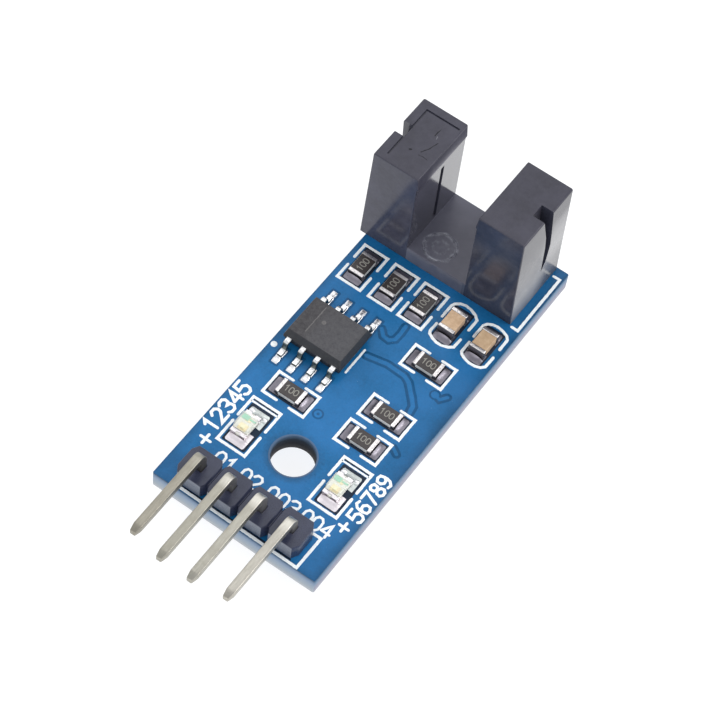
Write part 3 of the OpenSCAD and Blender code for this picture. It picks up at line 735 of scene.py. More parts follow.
STROKES = {
    "0": [[(0.02, .2), (0, .5), (0.02, .8), (.18, 1), (.42, 1), (.58, .8), (.6, .5), (.58, .2), (.42, 0), (.18, 0), (0.02, .2)]],
    "1": [[(.08, .78), (.32, 1), (.32, 0)]],
    "2": [[(0, .8), (.16, 1), (.44, 1), (.6, .8), (.56, .58), (0, 0), (.62, 0)]],
    "3": [[(0, .86), (.16, 1), (.44, 1), (.58, .84), (.56, .62), (.34, .52), (.56, .42), (.6, .18), (.44, 0), (.16, 0), (0, .14)]],
    "4": [[(.46, 0), (.46, 1), (0, .3)], [(0, .3), (.62, .3)]],
    "5": [[(.58, 1), (.04, 1), (0, .56), (.4, .6), (.6, .42), (.58, .16), (.42, 0), (.14, 0), (0, .14)]],
    "6": [[(.54, .94), (.3, 1), (.08, .8), (.02, .54), (.02, .34)],
          [(.02, .34), (.1, .06), (.34, 0), (.58, .12), (.6, .38), (.42, .56), (.18, .54), (.02, .34)]],
    "7": [[(0, 1), (.6, 1), (.2, 0)]],
    "8": [[(.3, .54), (.1, .64), (.08, .88), (.24, 1), (.38, 1), (.54, .88), (.52, .64), (.3, .54)],
          [(.3, .52), (.06, .38), (.02, .16), (.2, 0), (.42, 0), (.6, .16), (.56, .38), (.3, .52)]],
    "9": [[(.06, .06), (.3, 0), (.52, .2), (.58, .46), (.58, .66)],
          [(.58, .66), (.5, .94), (.26, 1), (.02, .88), (0, .62), (.18, .44), (.42, .46), (.58, .66)]],
    "+": [[(0, .5), (.64, .5)], [(.32, .18), (.32, .82)]],
}


def write(bm, text, x, y, h, width, z0, z1, turn=0.0, gap=0.3, rnd=None, mi=0):
    """Plain stroke figures, centred on x, y and turned about it."""
    adv = 0.62 * h + gap
    x0 = -(len(text) * adv - gap) / 2
    c, s = math.cos(math.radians(turn)), math.sin(math.radians(turn))
    for ch in text:
        for si, st in enumerate(STROKES[ch]):
            pts = []
            for a, b in st:
                u, v = x0 + a * h, (b - 0.5) * h
                pts.append((x + u * c - v * s, y + u * s + v * c))
            closed = pts[0] == pts[-1]
            ribbon(bm, pts[:-1] if closed else pts, width, z0, z1 + 0.003 * si, closed, mi, rnd, 0.3, 0.008)
        x0 += adv


# =====================================================================
# where things are (mm), as in the CAD
# =====================================================================
BX0, BY0 = mmbox("pcb")[0][:2]
BX1, BY1 = mmbox("pcb")[1][:2]
RES = [(-5.27, 15.59, 0), (-2.56, 15.59, 0), (0.03, 15.59, 0), (3.21, 11.62, 1),
       (3.24, 6.48, 1), (3.11, 3.84, 1), (-3.04, 3.88, 1)]
CAPS = [(2.62, 15.45), (5.28, 15.45)]
LEDS = [(-3.99, -0.15), (3.84, -0.19)]          # the LEDs themselves
LED_PADS = [(-3.81, -0.15), (4.02, -0.19)]
LED_BOXES = [(-3.80, 0.03), (3.94, 0.01)]       # their printed outlines
PIN_Y = (mmbox("header_body")[0][1] + mmbox("header_body")[1][1]) / 2
PINS = [-0.3 + (k - 1.5) * 2.54 for k in range(4)]
SX = [HX - 4.6, HX + 4.6]


def at(x, y, turned, z=BT):
    """Placement of a chip whose own length is along X."""
    a = 0.0 if turned else math.pi / 2
    return Matrix.Translation((x, y, z)) @ Matrix.Rotation(a, 4, "Z")


# =====================================================================
# board
# =====================================================================
def make_board():
    bm = bmesh.new()
    holes = [circle(0, 0, 1.6, 72, True)]
    side = [1, 2]
    for x in PINS:
        holes.append(circle(x, PIN_Y, 0.5, 28, True))
        side.append(3)
    for x in (HX - 4.6, HX + 4.6):
        for t in (-1.27, 1.27):
            holes.append(circle(x, HY + t, 0.45, 28, True))
            side.append(3)
    outer = rrect((BX0 + BX1) / 2, (BY0 + BY1) / 2, (BX1 - BX0) / 2, (BY1 - BY0) / 2, 0.12, 4)
    add_solid(bm, outer, holes, 0.0, BT, 0.03, 0.03, 3, 0, side)
    return finish_piece("board", bm, [M["mask"], M["edge"], M["hole"], M["joint"]], ["pcb"])


def make_hole_ring():
    """Bare laminate left clear of mask round the mounting hole, top and bottom."""
    bm = bmesh.new()
    add_solid(bm, circle(0, 0, 1.73, 72), [circle(0, 0, 1.62, 72, True)], BT - 0.01, BT + 0.012, 0, 0.006, 2)
    add_solid(bm, circle(0, 0, 1.73, 72), [circle(0, 0, 1.62, 72, True)], -0.012, 0.01, 0.006, 0, 2)
    return finish_piece("mounting_hole_ring", bm, [M["hole"]])


TRACKS = [
    ([(-1.2, 12.2), (-0.75, 11.75), (-0.25, 11.7), (0.08, 12.05), (0.1, 12.7), (0.05, 13.4)], 0.30),
    ([(-0.75, 9.7), (0.8, 10.03), (2.35, 9.98), (2.85, 9.72), (3.75, 8.82), (4.2, 8.3), (4.3, 7.75)], 0.34),
    ([(4.89, 10.03), (5.35, 9.9), (5.7, 10.4)], 0.26),
    ([(5.0, 4.75), (5.5, 4.45)], 0.26),
]


def make_tracks():
    """Copper under the mask: raised tracks in sunken-looking gaps, and tented vias."""
    rnd = random.Random(4)
    bm = bmesh.new()
    z = BT - 0.004
    for path, w in TRACKS:
        ribbon(bm, path, w + 0.42, z, BT + 0.003, False, 1, rnd, 0.25, 0.01)
        ribbon(bm, path, w, z, BT + 0.014, False, 0, rnd, 0.25, 0.008, 0.02)
    for x, y in ((-0.64, 3.74), (4.89, 10.03)):
        add_solid(bm, circle(x, y, 0.42, 32), [], z, BT + 0.0045, 0, 0.002, 2, 1)
        add_solid(bm, circle(x, y, 0.29, 32), [circle(x, y, 0.11, 20, True)], z, BT + 0.017, 0, 0.01, 3, 0)
    return finish_piece("tracks_under_mask", bm, [M["mask_track"], M["mask_gap"]])


def chip_pads():
    out = []
    for x, y, t in RES:
        out.append((x, y, t, 0.60, 1.52, 0.68))
    for x, y in CAPS:
        out.append((x, y, 0, 0.56, 1.56, 0.70))
    for x, y in LED_PADS:
        out.append((x, y, 0, 0.32, 1.62, 0.79))
    return out


def make_gaps():
    """Bare laminate round the pads, seen through the mask as darker blue, and a painted shadow strip at the header's
    foot.
    """
    bm = bmesh.new()
    for x, y, t, a, b, w in chip_pads():
        hx, hy = (b + 0.16, w + 0.13)
        if not t:
            hx, hy = hy, hx
        if a < 0.4:
            x, y, hx, hy = x + 0.02, y + 0.06, 0.965, 1.80
        add_solid(bm, rrect(x, y, hx, hy, 0.12, 3), [], BT - 0.004, BT + 0.0056, 0, 0.002, 2, 1)
    for x, y in LED_BOXES:
        add_solid(bm, rrect(x, y + 1.94, 1.02, 0.055), [], BT - 0.004, BT + 0.0066, 0, 0.002, 2, 1)
    # shaded strip at the header's foot
    add_solid(bm, rrect(-0.2, -6.53, 4.75, 0.075), [], BT - 0.004, BT + 0.0056, 0, 0.002, 2, 1)
    for s in (-1, 1):
        for k in range(4):
            add_solid(bm, rrect(IC[0] + (k - 1.5) * 1.27, IC[1] + s * 3.0, 0.38, 0.90, 0.1, 3), [],
                      BT - 0.004, BT + 0.0052, 0, 0.002, 2, 0)
    return finish_piece("mask_clearances", bm, [M["mask_gap"], M["mask_dark"]])


def make_silk():
    rnd = random.Random(7)
    bm = bmesh.new()
    z0, z1, w = BT - 0.003, BT + 0.028, 0.225

    def line(path, closed=False, width=w):
        ribbon(bm, path, width, z0, z1, closed, 0, rnd, 0.16, 0.011)

    for x, y, t in RES:
        a, b, g = 1.0, 1.73, (0.55 if t else 0.42)
        for s in (-1, 1):
            pts = [(-a, s * g), (-a, s * b), (a, s * b), (a, s * g)]
            if t:
                pts = [(q, p) for p, q in pts]
            line([(x + p, y + q) for p, q in pts])
    # capacitor outlines: straight sides, bowed ends
    line([(1.60, 15.72), (1.60, 16.85), (1.72, 17.15), (2.05, 17.42), (2.45, 17.52), (2.95, 17.46),
          (3.45, 17.25), (3.74, 16.98), (3.76, 16.7), (3.74, 15.93)])
    line([(1.62, 14.98), (1.60, 14.2), (1.72, 13.98), (2.07, 13.78), (2.5, 13.66), (2.9, 13.66),
          (3.40, 13.84), (3.70, 14.10), (3.73, 14.9)])
    line([(4.32, 15.72), (4.34, 16.88), (4.5, 17.18), (4.85, 17.38), (5.25, 17.43), (5.75, 17.36),
          (6.15, 17.2), (6.38, 16.95), (6.39, 15.93)])
    line([(4.34, 15.12), (4.33, 14.15), (4.5, 13.95), (4.85, 13.78), (5.3, 13.68), (5.75, 13.71),
          (6.15, 13.85), (6.38, 14.12), (6.40, 15.08)])
    for x, y in LED_BOXES:
        a, b, g = 1.165, 2.11, 0.30
        for s in (-1, 1):
            line([(x - a, y + s * g), (x - a, y + s * b), (x + a, y + s * b), (x + a, y + s * g)])
        line([(x - a + 0.1, y + b - 0.34), (x + a - 0.1, y + b - 0.34)], width=0.16)
    # package outline: first-lead dot and the bar at the far end
    add_solid(bm, circle(-6.42, 6.45, 0.24, 28), [], z0, z1, 0, 0.01, 2)
    line([(-1.10, 7.66), (-1.10, 10.0)], width=0.17)
    # brackets beside the header and the slotted switch
    line([(4.62, -4.0), (5.22, -4.0), (5.20, -6.76), (4.6, -6.75), (-4.95, -6.68)])
    line([(6.02, 18.05), (6.52, 18.05), (6.52, 23.55), (6.02, 23.55)])
    # plain figures
    write(bm, "+", -5.57, -2.6, 1.25, 0.22, z0, z1, 0, rnd=rnd)
    write(bm, "+", 5.92, -2.36, 1.15, 0.21, z0, z1, 0, rnd=rnd)
    for x, t, gap in ((-3.4, "01", 0.20), (-1.22, "02", 0.20), (1.5, "003", 0.22), (4.34, "004", 0.16)):
        write(bm, t, x, -3.25, 1.08, 0.19, z0, z1, 0, gap, rnd)
    write(bm, "12345", -5.98, 0.4, 1.12, 0.225, z0, z1, 90, 0.22, rnd)
    write(bm, "56789", 6.08, 0.52, 1.06, 0.21, z0, z1, 90, 0.19, rnd)
    return finish_piece("screen_print", bm, [M["silk"]])


# =====================================================================
# solder on the pads
# =====================================================================
def add_fillet(bm, mat, w, under, out, up, nx=14, ny=10, flat=0.035, mi=0):
    """Solder that climbs a chip's end: x runs outwards from the end at 0, y across."""
    rows = []
    before = set(bm.faces)
    for i in range(nx + 1):
        x = -under + (under + out) * i / nx
        row = []
        for j in range(ny + 1):
            v = -1 + 2 * j / ny
            edge = 1 - abs(v) ** 5
            if x <= 0:
                h = 0.045
            else:
                t = min(x / out, 1.0)
                h = flat * (1 - t ** 6) + (up - flat) * (1 - t) ** 2.6 * (1 - 0.55 * v * v)
            h = max(h * (0.25 + 0.75 * edge), 0.006)
            ww = w * (1.0 if x < out * 0.75 else 1.0 - 0.12 * ((x / out - 0.75) / 0.25) ** 2)
            row.append(bm.verts.new(mat @ Vector((x, v * ww, h))))
        rows.append(row)
    low = []
    for i in range(nx + 1):
        low.append([bm.verts.new(mat @ Vector((mat.inverted() @ rows[i][j].co).xy.to_3d()
                                              + Vector((0, 0, -0.003)))) for j in (0, ny)])
    for i in range(nx):
        for j in range(ny):
            bm.faces.new((rows[i][j], rows[i + 1][j], rows[i + 1][j + 1], rows[i][j + 1]))
        bm.faces.new((rows[i][0], low[i][0], low[i + 1][0], rows[i + 1][0]))
        bm.faces.new((rows[i][ny], rows[i + 1][ny], low[i + 1][1], low[i][1]))
        bm.faces.new((low[i][0], low[i][1], low[i + 1][1], low[i + 1][0]))
    bm.faces.new([rows[0][j] for j in range(ny + 1)] + [low[0][1], low[0][0]])
    bm.faces.new([rows[nx][j] for j in range(ny, -1, -1)] + [low[nx][0], low[nx][1]])
    if mi:
        for f in bm.faces:
            if f not in before:
                f.material_index = mi


def make_pads():
    bm = bmesh.new()
    flip = Matrix.Rotation(math.pi, 4, "Z")
    for x, y, t, a, b, w in chip_pads():
        base = at(x, y, t)
        if a < 0.4:
            # the LED rests on wide, lumpy pads; own +x of the second one is towards the header
            for m, mi in ((base, 3), (base @ flip, 2)):
                add_fillet(bm, m @ Matrix.Translation((1.0, 0, 0)), w, 1.0 - a, b - 1.0, 0.24, 16, 12, 0.045, mi)
            for u, v, r, h in ((1.32, 0.56, 0.24, 0.12), (1.18, -0.60, 0.20, 0.13)):
                rings = []
                for q in (0, 25, 50, 72):
                    c, zz = math.cos(math.radians(q)) * r, math.sin(math.radians(q)) * h
                    rings.append([base @ Vector((u + c * math.cos(2 * math.pi * k / 16),
                                                 v + c * math.sin(2 * math.pi * k / 16), 0.02 + zz)) for k in range(16)])
                add_loft(bm, rings, 1)
            continue
        for m in (base, base @ flip):
            add_fillet(bm, m @ Matrix.Translation((1.0, 0, 0)), w, 1.0 - a, b - 1.0, 0.30, mi=0)
    for s in (0, 1):
        for k in range(4):
            m = Matrix.Translation((IC[0], IC[1], BT)) @ Matrix.Rotation(math.pi * s, 4, "Z") @ \
                Matrix.Translation(((k - 1.5) * 1.27, 3.1, 0)) @ Matrix.Rotation(math.pi / 2, 4, "Z")
            add_fillet(bm, m, 0.245 if s else 0.215, 0.70, 0.64, 0.15, 14, 8, 0.05, 1)
    return finish_piece("pad_solder", bm, [M["pad"], M["pad_bright"], M["pad_led"], M["pad_led_grey"]],
                        ["smd_solder"], sharp=50)


# =====================================================================
# chips
# =====================================================================
def add_cap(bm, mat, s, ln, w, z0, z1, t=0.04, sides=False, mi=0):
    """A tinned end that wraps over a chip's end, top and underside."""
    L = 1.0
    r = 0.05
    prof = []
    x_in, x_out = (L - ln) * s, L * s
    outer = [(x_in, z1), (x_out - s * r, z1), (x_out - s * r * 0.3, z1 - r * 0.3), (x_out, z1 - r),
             (x_out, z0 + r), (x_out - s * r * 0.3, z0 + r * 0.3), (x_out - s * r, z0), (x_in, z0)]
    hw = w / 2 + (t if sides else 0)
    rings = []
    for y, ins in ((-hw, 0.03), (-hw + 0.03, 0.0), (hw - 0.03, 0.0), (hw, 0.03)):
        cz = (z0 + z1) / 2
        ring = []
        for x, z in outer:
            zz = cz + (z - cz) * (1 - ins / ((z1 - z0) / 2))
            xx = x - (s * ins if abs(x - x_in) > 1e-6 else 0)
            ring.append(mat @ Vector((xx, y, zz)))
        rings.append(ring)
    add_loft(bm, rings, mi)


def make_resistors():
    for i, (x, y, t) in enumerate(RES):
        m = at(x, y, t)
        bm = bmesh.new()
        add_block(bm, (-0.94, -0.615, 0.09), (0.94, 0.615, 0.41), 0.02, 2, 1, m)
        add_block(bm, (-0.735, -0.60, 0.30), (0.735, 0.60, 0.448), 0.035, 3, 0, m)
        k = random.Random(30 + i)
        # plain value figures
        dx, dy = k.uniform(-0.04, 0.04), k.uniform(-0.04, 0.04)
        write(bm, "100", x + dx, y + dy, 0.47, 0.078, BT + 0.443, BT + 0.452,
              (0 if t else 90) + k.uniform(-2, 2), 0.085, k, 2)
        finish_piece("resistor_%d_chip" % (i + 1), bm, [M["glaze"], M["alumina"], M["res_ink"]],
                     ["resistor_%d" % (i + 1)])
    bm = bmesh.new()
    for x, y, t in RES:
        for s in (-1, 1):
            add_cap(bm, at(x, y, t), s, 0.28, 1.25, 0.05, 0.45)
    finish_piece("resistor_end_caps", bm, [M["cap"]], ["resistor_caps"])


def make_capacitors():
    for i, (x, y) in enumerate(CAPS):
        bm = bmesh.new()
        add_block(bm, (-0.95, -0.61, 0.09), (0.95, 0.61, 0.83), 0.05, 3, 0, at(x, y, 0))
        finish_piece("capacitor_%d_block" % (i + 1), bm, [M["tan"]],
                     ["capacitor_%d" % (i + 1)])
    bm = bmesh.new()
    for x, y in CAPS:
        m = at(x, y, 0)
        for s in (-1, 1):
            lo, hi = sorted((s * 0.68, s * 1.0))
            add_block(bm, (lo, -0.665, 0.05), (hi, 0.665, 0.875), 0.075, 4, 0, m)
    finish_piece("capacitor_end_caps", bm, [M["cap"]], ["capacitor_caps"])


def make_leds():
    for i, (x, y) in enumerate(LEDS):
        m = at(x, y, 0)                      # own +x is the frame's +y
        bm = bmesh.new()
        add_block(bm, (-0.96, -0.615, 0.09), (0.96, 0.615, 0.34), 0.02, 2, 0, m)
        # die pad, bond pad, coloured mark, die and bond wire under the lens
        add_block(bm, (-0.58, -0.34, 0.335), (-0.02, 0.34, 0.36), 0.01, 2, 1, m)
        add_block(bm, (0.20, -0.20, 0.335), (0.56, 0.22, 0.36), 0.01, 2, 1, m)
        add_block(bm, (0.27, 0.02, 0.335), (0.64, 0.56, 0.43), 0.03, 3, 2, m)
        add_block(bm, (0.40, -0.52, 0.335), (0.52, -0.02, 0.40), 0.02, 2, 2, m)
        add_block(bm, (-0.46, -0.15, 0.355), (-0.16, 0.15, 0.50), 0.02, 2, 3, m)
        # painted shadow: a brown strip where the body meets its contact
        add_block(bm, (-0.70, -0.56, 0.33), (-0.655, 0.56, 0.375), 0.01, 2, 4, m)
        finish_piece("led_%d_carrier" % (i + 1), bm,
                     [M["led_white"], M["gold"], M["led_green"], M["die"], M["led_brown"]],
                     ["led_%d_base" % (i + 1)])
        bm = bmesh.new()
        rings = []
        for ins, z in ((0.0, 0.345), (0.01, 0.45), (0.045, 0.78), (0.06, 0.82), (0.10, 0.846), (0.16, 0.85)):
            rings.append([m @ Vector((p, q, z)) for p, q in rrect(0, 0, 0.65 - ins, 0.62 - ins * 0.6, 0.05, 3)])
        add_loft(bm, rings)
        finish_piece("led_%d_resin" % (i + 1), bm, [M["lens"]], ["led_%d_lens" % (i + 1)])
    bm = bmesh.new()
    for x, y in LEDS:
        m = at(x, y, 0)
        for s in (-1, 1):
            # contact with a half-round bite in its end
            out = [(s * 0.68, -0.62), (s * 1.0, -0.62)]
            out += [(s * (1.0 - 0.17 * math.cos(math.radians(a))), 0.17 * math.sin(math.radians(a)))
                    for a in range(-90, 91, 15)]
            out += [(s * 1.0, 0.62), (s * 0.68, 0.62)]
            if s < 0:
                out.reverse()
            add_solid(bm, out, [], 0.05, 0.39, 0.0, 0.02, 2, 0, None, lambda v, m=m: m @ v)
    finish_piece("led_end_contacts", bm, [M["cap_led"]], ["led_caps"])


# =====================================================================
# comparator
# =====================================================================
def make_comparator():
    bm = bmesh.new()
    secs = []

    def sec(z, hx, hy, r=0.06):
        secs.append([Vector((IC[0] + p, IC[1] + q, BT + z)) for p, q in rrect(0, 0, hx, hy, r, 3)])

    sec(0.15, 2.25, 1.74)
    sec(0.17, 2.28, 1.76)
    sec(0.75, 2.44, 1.94)
    sec(0.79, 2.45, 1.95)
    sec(0.91, 2.45, 1.95)
    sec(0.95, 2.44, 1.93)
    sec(1.54, 2.255, 1.68, 0.08)
    sec(1.585, 2.225, 1.65, 0.08)
    sec(1.60, 2.17, 1.595, 0.08)
    add_loft(bm, secs)
    body = finish_piece("comparator_package", bm, [M["ic"], M["ic_ink"]], ["comparator_body"])
    # shallow dimple beside the first lead
    cm = bmesh.new()
    ring = []
    for r, z in ((0.0, -0.055), (0.12, -0.052), (0.22, -0.042), (0.29, -0.02), (0.31, 0.02), (0.31, 0.3)):
        ring.append((r, z))
    rings = []
    for r, z in reversed(ring[1:]):
        rings.append([Vector((IC[0] - 1.6 + r * math.cos(2 * math.pi * k / 32),
                              IC[1] - 1.0 + r * math.sin(2 * math.pi * k / 32), BT + 1.6 + z)) for k in range(32)])
    add_loft(cm, rings)
    cut(body, cm)
    bm = bmesh.new()
    z0, z1 = BT + 1.597, BT + 1.606
    rnd = random.Random(5)
    ribbon(bm, [(IC[0] - 1.15, IC[1] - 1.13), (IC[0] - 1.15, IC[1] + 1.32)], 0.09, z0, z1, False, 0, rnd, 0.1, 0.012)
    add_solid(bm, circle(IC[0] - 0.54, IC[1] + 0.22, 0.17, 24), [], z0, z1, 0, 0.003, 2)
    finish_piece("comparator_marks", bm, [M["ic_ink"]])
    # gull-wing leads: a strip bent along a rounded path
    bm = bmesh.new()
    path = [(1.66, 0.85), (2.22, 0.85)]
    path += [(2.22 + 0.16 * math.sin(math.radians(a)), 0.69 + 0.16 * math.cos(math.radians(a))) for a in (20, 40, 60, 76)]
    path += [(2.455, 0.345)]
    path += [(2.61 - 0.155 * math.cos(math.radians(a)), 0.305 - 0.155 * math.sin(math.radians(a))) for a in (14, 35, 60, 85)]
    path += [(2.82, 0.147), (3.08, 0.147), (3.10, 0.147)]
    rings0 = []
    t, w = 0.10, 0.20
    for i, (p, z) in enumerate(path):
        a = Vector(path[max(i - 1, 0)])
        b = Vector(path[min(i + 1, len(path) - 1)])
        d = (b - a).normalized()
        nrm = Vector((-d.y, d.x))
        c = Vector((p, z))
        rings0.append((c + nrm * t, c - nrm * t))
    for s in (0, 1):
        for k in range(4):
            m = Matrix.Translation((IC[0], IC[1], BT)) @ Matrix.Rotation(math.pi * s, 4, "Z") @ \
                Matrix.Translation(((k - 1.5) * 1.27, 0, 0))
            rings = []
            for i, (hi, lo) in enumerate(rings0):
                ww = w if i < len(rings0) - 1 else w - 0.02
                e = 0.03
                mid = (hi + lo) / 2
                hi2, lo2 = mid + (hi - mid) * (1 - e / t), mid + (lo - mid) * (1 - e / t)
                pts = [(-ww + e, lo), (ww - e, lo), (ww, lo2), (ww, hi2), (ww - e, hi), (-ww + e, hi), (-ww, hi2), (-ww, lo2)]
                rings.append([m @ Vector((px, q.x, q.y)) for px, q in pts])
            add_loft(bm, rings)
    finish_piece("comparator_leadframe", bm, [M["lead"]], ["comparator_leads"], sharp=40)


def cut(ob, cutter_bm):
    """Takes a closed cutter mesh out of a piece and keeps the result as its mesh."""
    bmesh.ops.recalc_face_normals(cutter_bm, faces=cutter_bm.faces[:])
    me = bpy.data.meshes.new("cutter")
    cutter_bm.to_mesh(me)
    cutter_bm.free()
    me.transform(Matrix.Scale(MM, 4))
    c = bpy.data.objects.new("cutter", me)
    COLL.objects.link(c)
    md = ob.modifiers.new("cut", "BOOLEAN")
    md.operation = "DIFFERENCE"
    md.solver = "EXACT"
    md.object = c
    bpy.context.view_layer.update()
    dg = bpy.context.evaluated_depsgraph_get()
    new = bpy.data.meshes.new_from_object(ob.evaluated_get(dg))
    ob.modifiers.remove(md)
    old = ob.data
    ob.data = new
    bpy.data.meshes.remove(old)
    bpy.data.objects.remove(c)
    bpy.data.meshes.remove(me)
    new.polygons.foreach_set("use_smooth", [True] * len(new.polygons))
    new.set_sharp_from_angle(angle=math.radians(32))


# =====================================================================
# header
# =====================================================================
def make_header():
    lo, hi = mmbox("header_body")
    a, cx, c = 1.27, 0.3, 0.5
    d = hi[1] - lo[1]
    xs = PINS
    outer = []
    for x in xs:
        outer += [(x - a, lo[1] + c), (x - a + cx, lo[1]), (x + a - cx, lo[1]), (x + a, lo[1] + c)]
    # drop doubled points between cells
    def dedupe(p):
        q = []
        for v in p:
            if not q or (Vector(v) - Vector(q[-1])).length > 1e-5:
                q.append(v)
        if (Vector(q[0]) - Vector(q[-1])).length < 1e-5:
            q.pop()
        return q
    back = []
    for x in reversed(xs):
        back += [(x + a, hi[1] - c), (x + a - cx, hi[1]), (x - a + cx, hi[1]), (x - a, hi[1] - c)]
    outer = dedupe(outer + back)
    h = 0.34
    holes = []
    for x in xs:
        holes.append([(x - h, PIN_Y - h), (x - h, PIN_Y + h), (x + h, PIN_Y + h), (x + h, PIN_Y - h)])
    bm = bmesh.new()
    add_solid(bm, outer, holes, BT, hi[2], 0.04, 0.07, 3)
    ob = finish_piece("header_insulator", bm, [M["header"]], ["header_body"], sharp=30)
    for x in xs[:-1]:
        cm = bmesh.new()
        g = x + a
        rings = []
        for y in (lo[1] - 0.5, hi[1] + 0.5):
            rings.append([Vector((g + p, y, hi[2] + q)) for p, q in
                          ((-0.22, 0.06), (-0.15, 0.0), (-0.02, -0.19), (0.02, -0.19), (0.15, 0.0), (0.22, 0.06))])
        add_loft(cm, rings)
        cut(ob, cm)


def sweep_square(bm, path, half, r, scale=None, up=Vector((1, 0, 0))):
    """A rounded square bar along a path in the YZ plane."""
    prof = rrect(0, 0, half, half, r, 3)
    rings = []
    for i, p in enumerate(path):
        a = path[max(i - 1, 0)]
        b = path[min(i + 1, len(path) - 1)]
        d = (b - a).normalized()
        side = up
        nrm = d.cross(side).normalized()
        k = scale[i] if scale else 1.0
        rings.append([p + side * (u * k) + nrm * (v * k) for u, v in prof])
    add_loft(bm, rings)


def make_pins():
    for i, x in enumerate(PINS):
        lo, hi = mmbox("header_pin_%d" % (i + 1))
        s = 0.32
        zt = hi[2] - s                      # axis height of the free end
        R = 0.47                            # bend radius at the axis
        path, sc = [], []

        def add(y, z, k=1.0):
            path.append(Vector((x, y, z)))
            sc.append(k)
        add(PIN_Y, lo[2] + 0.0, 0.55)
        add(PIN_Y, lo[2] + 0.10, 0.80)
        add(PIN_Y, lo[2] + 0.28, 1.0)
        add(PIN_Y, 0.5)
        add(PIN_Y, zt - R - 0.15)
        for a in range(0, 91, 9):
            q = math.radians(a)
            add(PIN_Y - R + R * math.cos(q), zt - R + R * math.sin(q))
        add(PIN_Y - R - 0.2, zt)
        y = PIN_Y - R - 0.8
        while y > lo[1] + 1.1:
            add(y, zt)
            y -= 0.8
        add(lo[1] + 0.68, zt, 1.0)
        add(lo[1] + 0.57, zt, 0.985)
        add(lo[1] + 0.30, zt, 0.83)
        add(lo[1] + 0.07, zt, 0.68)
        add(lo[1] + 0.02, zt, 0.62)
        add(lo[1] + 0.0, zt, 0.54)
        bm = bmesh.new()
        sweep_square(bm, path, s, 0.05, sc)
        finish_piece("pin_%d_bent" % (i + 1), bm, [M["pin"]], ["header_pin_%d" % (i + 1)], sharp=40)


# =====================================================================
# solder joints under the board
# =====================================================================
def add_joint(bm, x, y, hole, lead, foot, low):
    """Revolved fillet: wide and thin on the pad, climbing the lead. A closed ring round the lead."""
    n = 40
    prof = []
    for k in range(11):
        t = k / 10
        r = lead * 0.62 + (foot - lead * 0.62) * (1 - t) ** 1.9
        prof.append((r, -0.02 - (low - 0.02) * t))
    prof = [(hole, -0.0), (foot - 0.02, 0.0), (foot, -0.012)] + prof[0:] + [(lead * 0.5, -low), (lead * 0.5, 0.02), (lead * 0.5, BT - 0.02), (hole - 0.02, BT - 0.01), (hole, BT - 0.05)]
    rings = []
    for k in range(n):
        a = 2 * math.pi * k / n
        rings.append([Vector((x + r * math.cos(a), y + r * math.sin(a), z)) for r, z in prof])
    add_loft(bm, rings, closed=True)


def make_joints():
    bm = bmesh.new()
    for x in PINS:
        add_joint(bm, x, PIN_Y, 0.48, 0.64, 0.92, 0.95)
    finish_piece("header_joints", bm, [M["joint"]], ["header_solder"], sharp=50)
    bm = bmesh.new()
    for x in SX:
        for t in (-1.27, 1.27):
            add_joint(bm, x, HY + t, 0.43, 0.46, 0.85, 0.85)
    finish_piece("sensor_joints", bm, [M["joint"]], ["sensor_solder"], sharp=50)


# =====================================================================
# slotted switch housing
# =====================================================================
def rounded(corners, n=4):
    """A closed outline whose corners (x, y, r) are rounded by r."""
    out = []
    m = len(corners)
    for i, (x, y, r) in enumerate(corners):
        p = Vector((x, y))
        if not r:
            out.append((x, y))
            continue
        a = (Vector(corners[i - 1][:2]) - p).normalized()
        b = (Vector(corners[(i + 1) % m][:2]) - p).normalized()
        half = a.angle(b) / 2
        c = p + (a + b).normalized() * (r / math.sin(half))
        s, e = p + a * (r / math.tan(half)), p + b * (r / math.tan(half))
        t0 = math.atan2(s.y - c.y, s.x - c.x)
        t1 = math.atan2(e.y - c.y, e.x - c.x)
        d = (t1 - t0 + math.pi) % (2 * math.pi) - math.pi
        out += [(c.x + r * math.cos(t0 + d * k / n), c.y + r * math.sin(t0 + d * k / n)) for k in range(n + 1)]
    return out


SCRATCHES = [
    ([(-4.03, 21.60), (-4.25, 20.82), (-4.54, 20.26)], 0.10, 0),
    ([(-4.53, 22.70), (-4.57, 22.39), (-4.56, 22.01)], 0.09, 0),
    ([(-4.53, 19.93), (-4.19, 19.99), (-3.82, 19.95)], 0.08, 0),
    ([(-5.31, 19.97), (-5.21, 20.02)], 0.16, 0),
    ([(-4.38, 22.05), (-4.33, 21.85)], 0.10, 1),
]


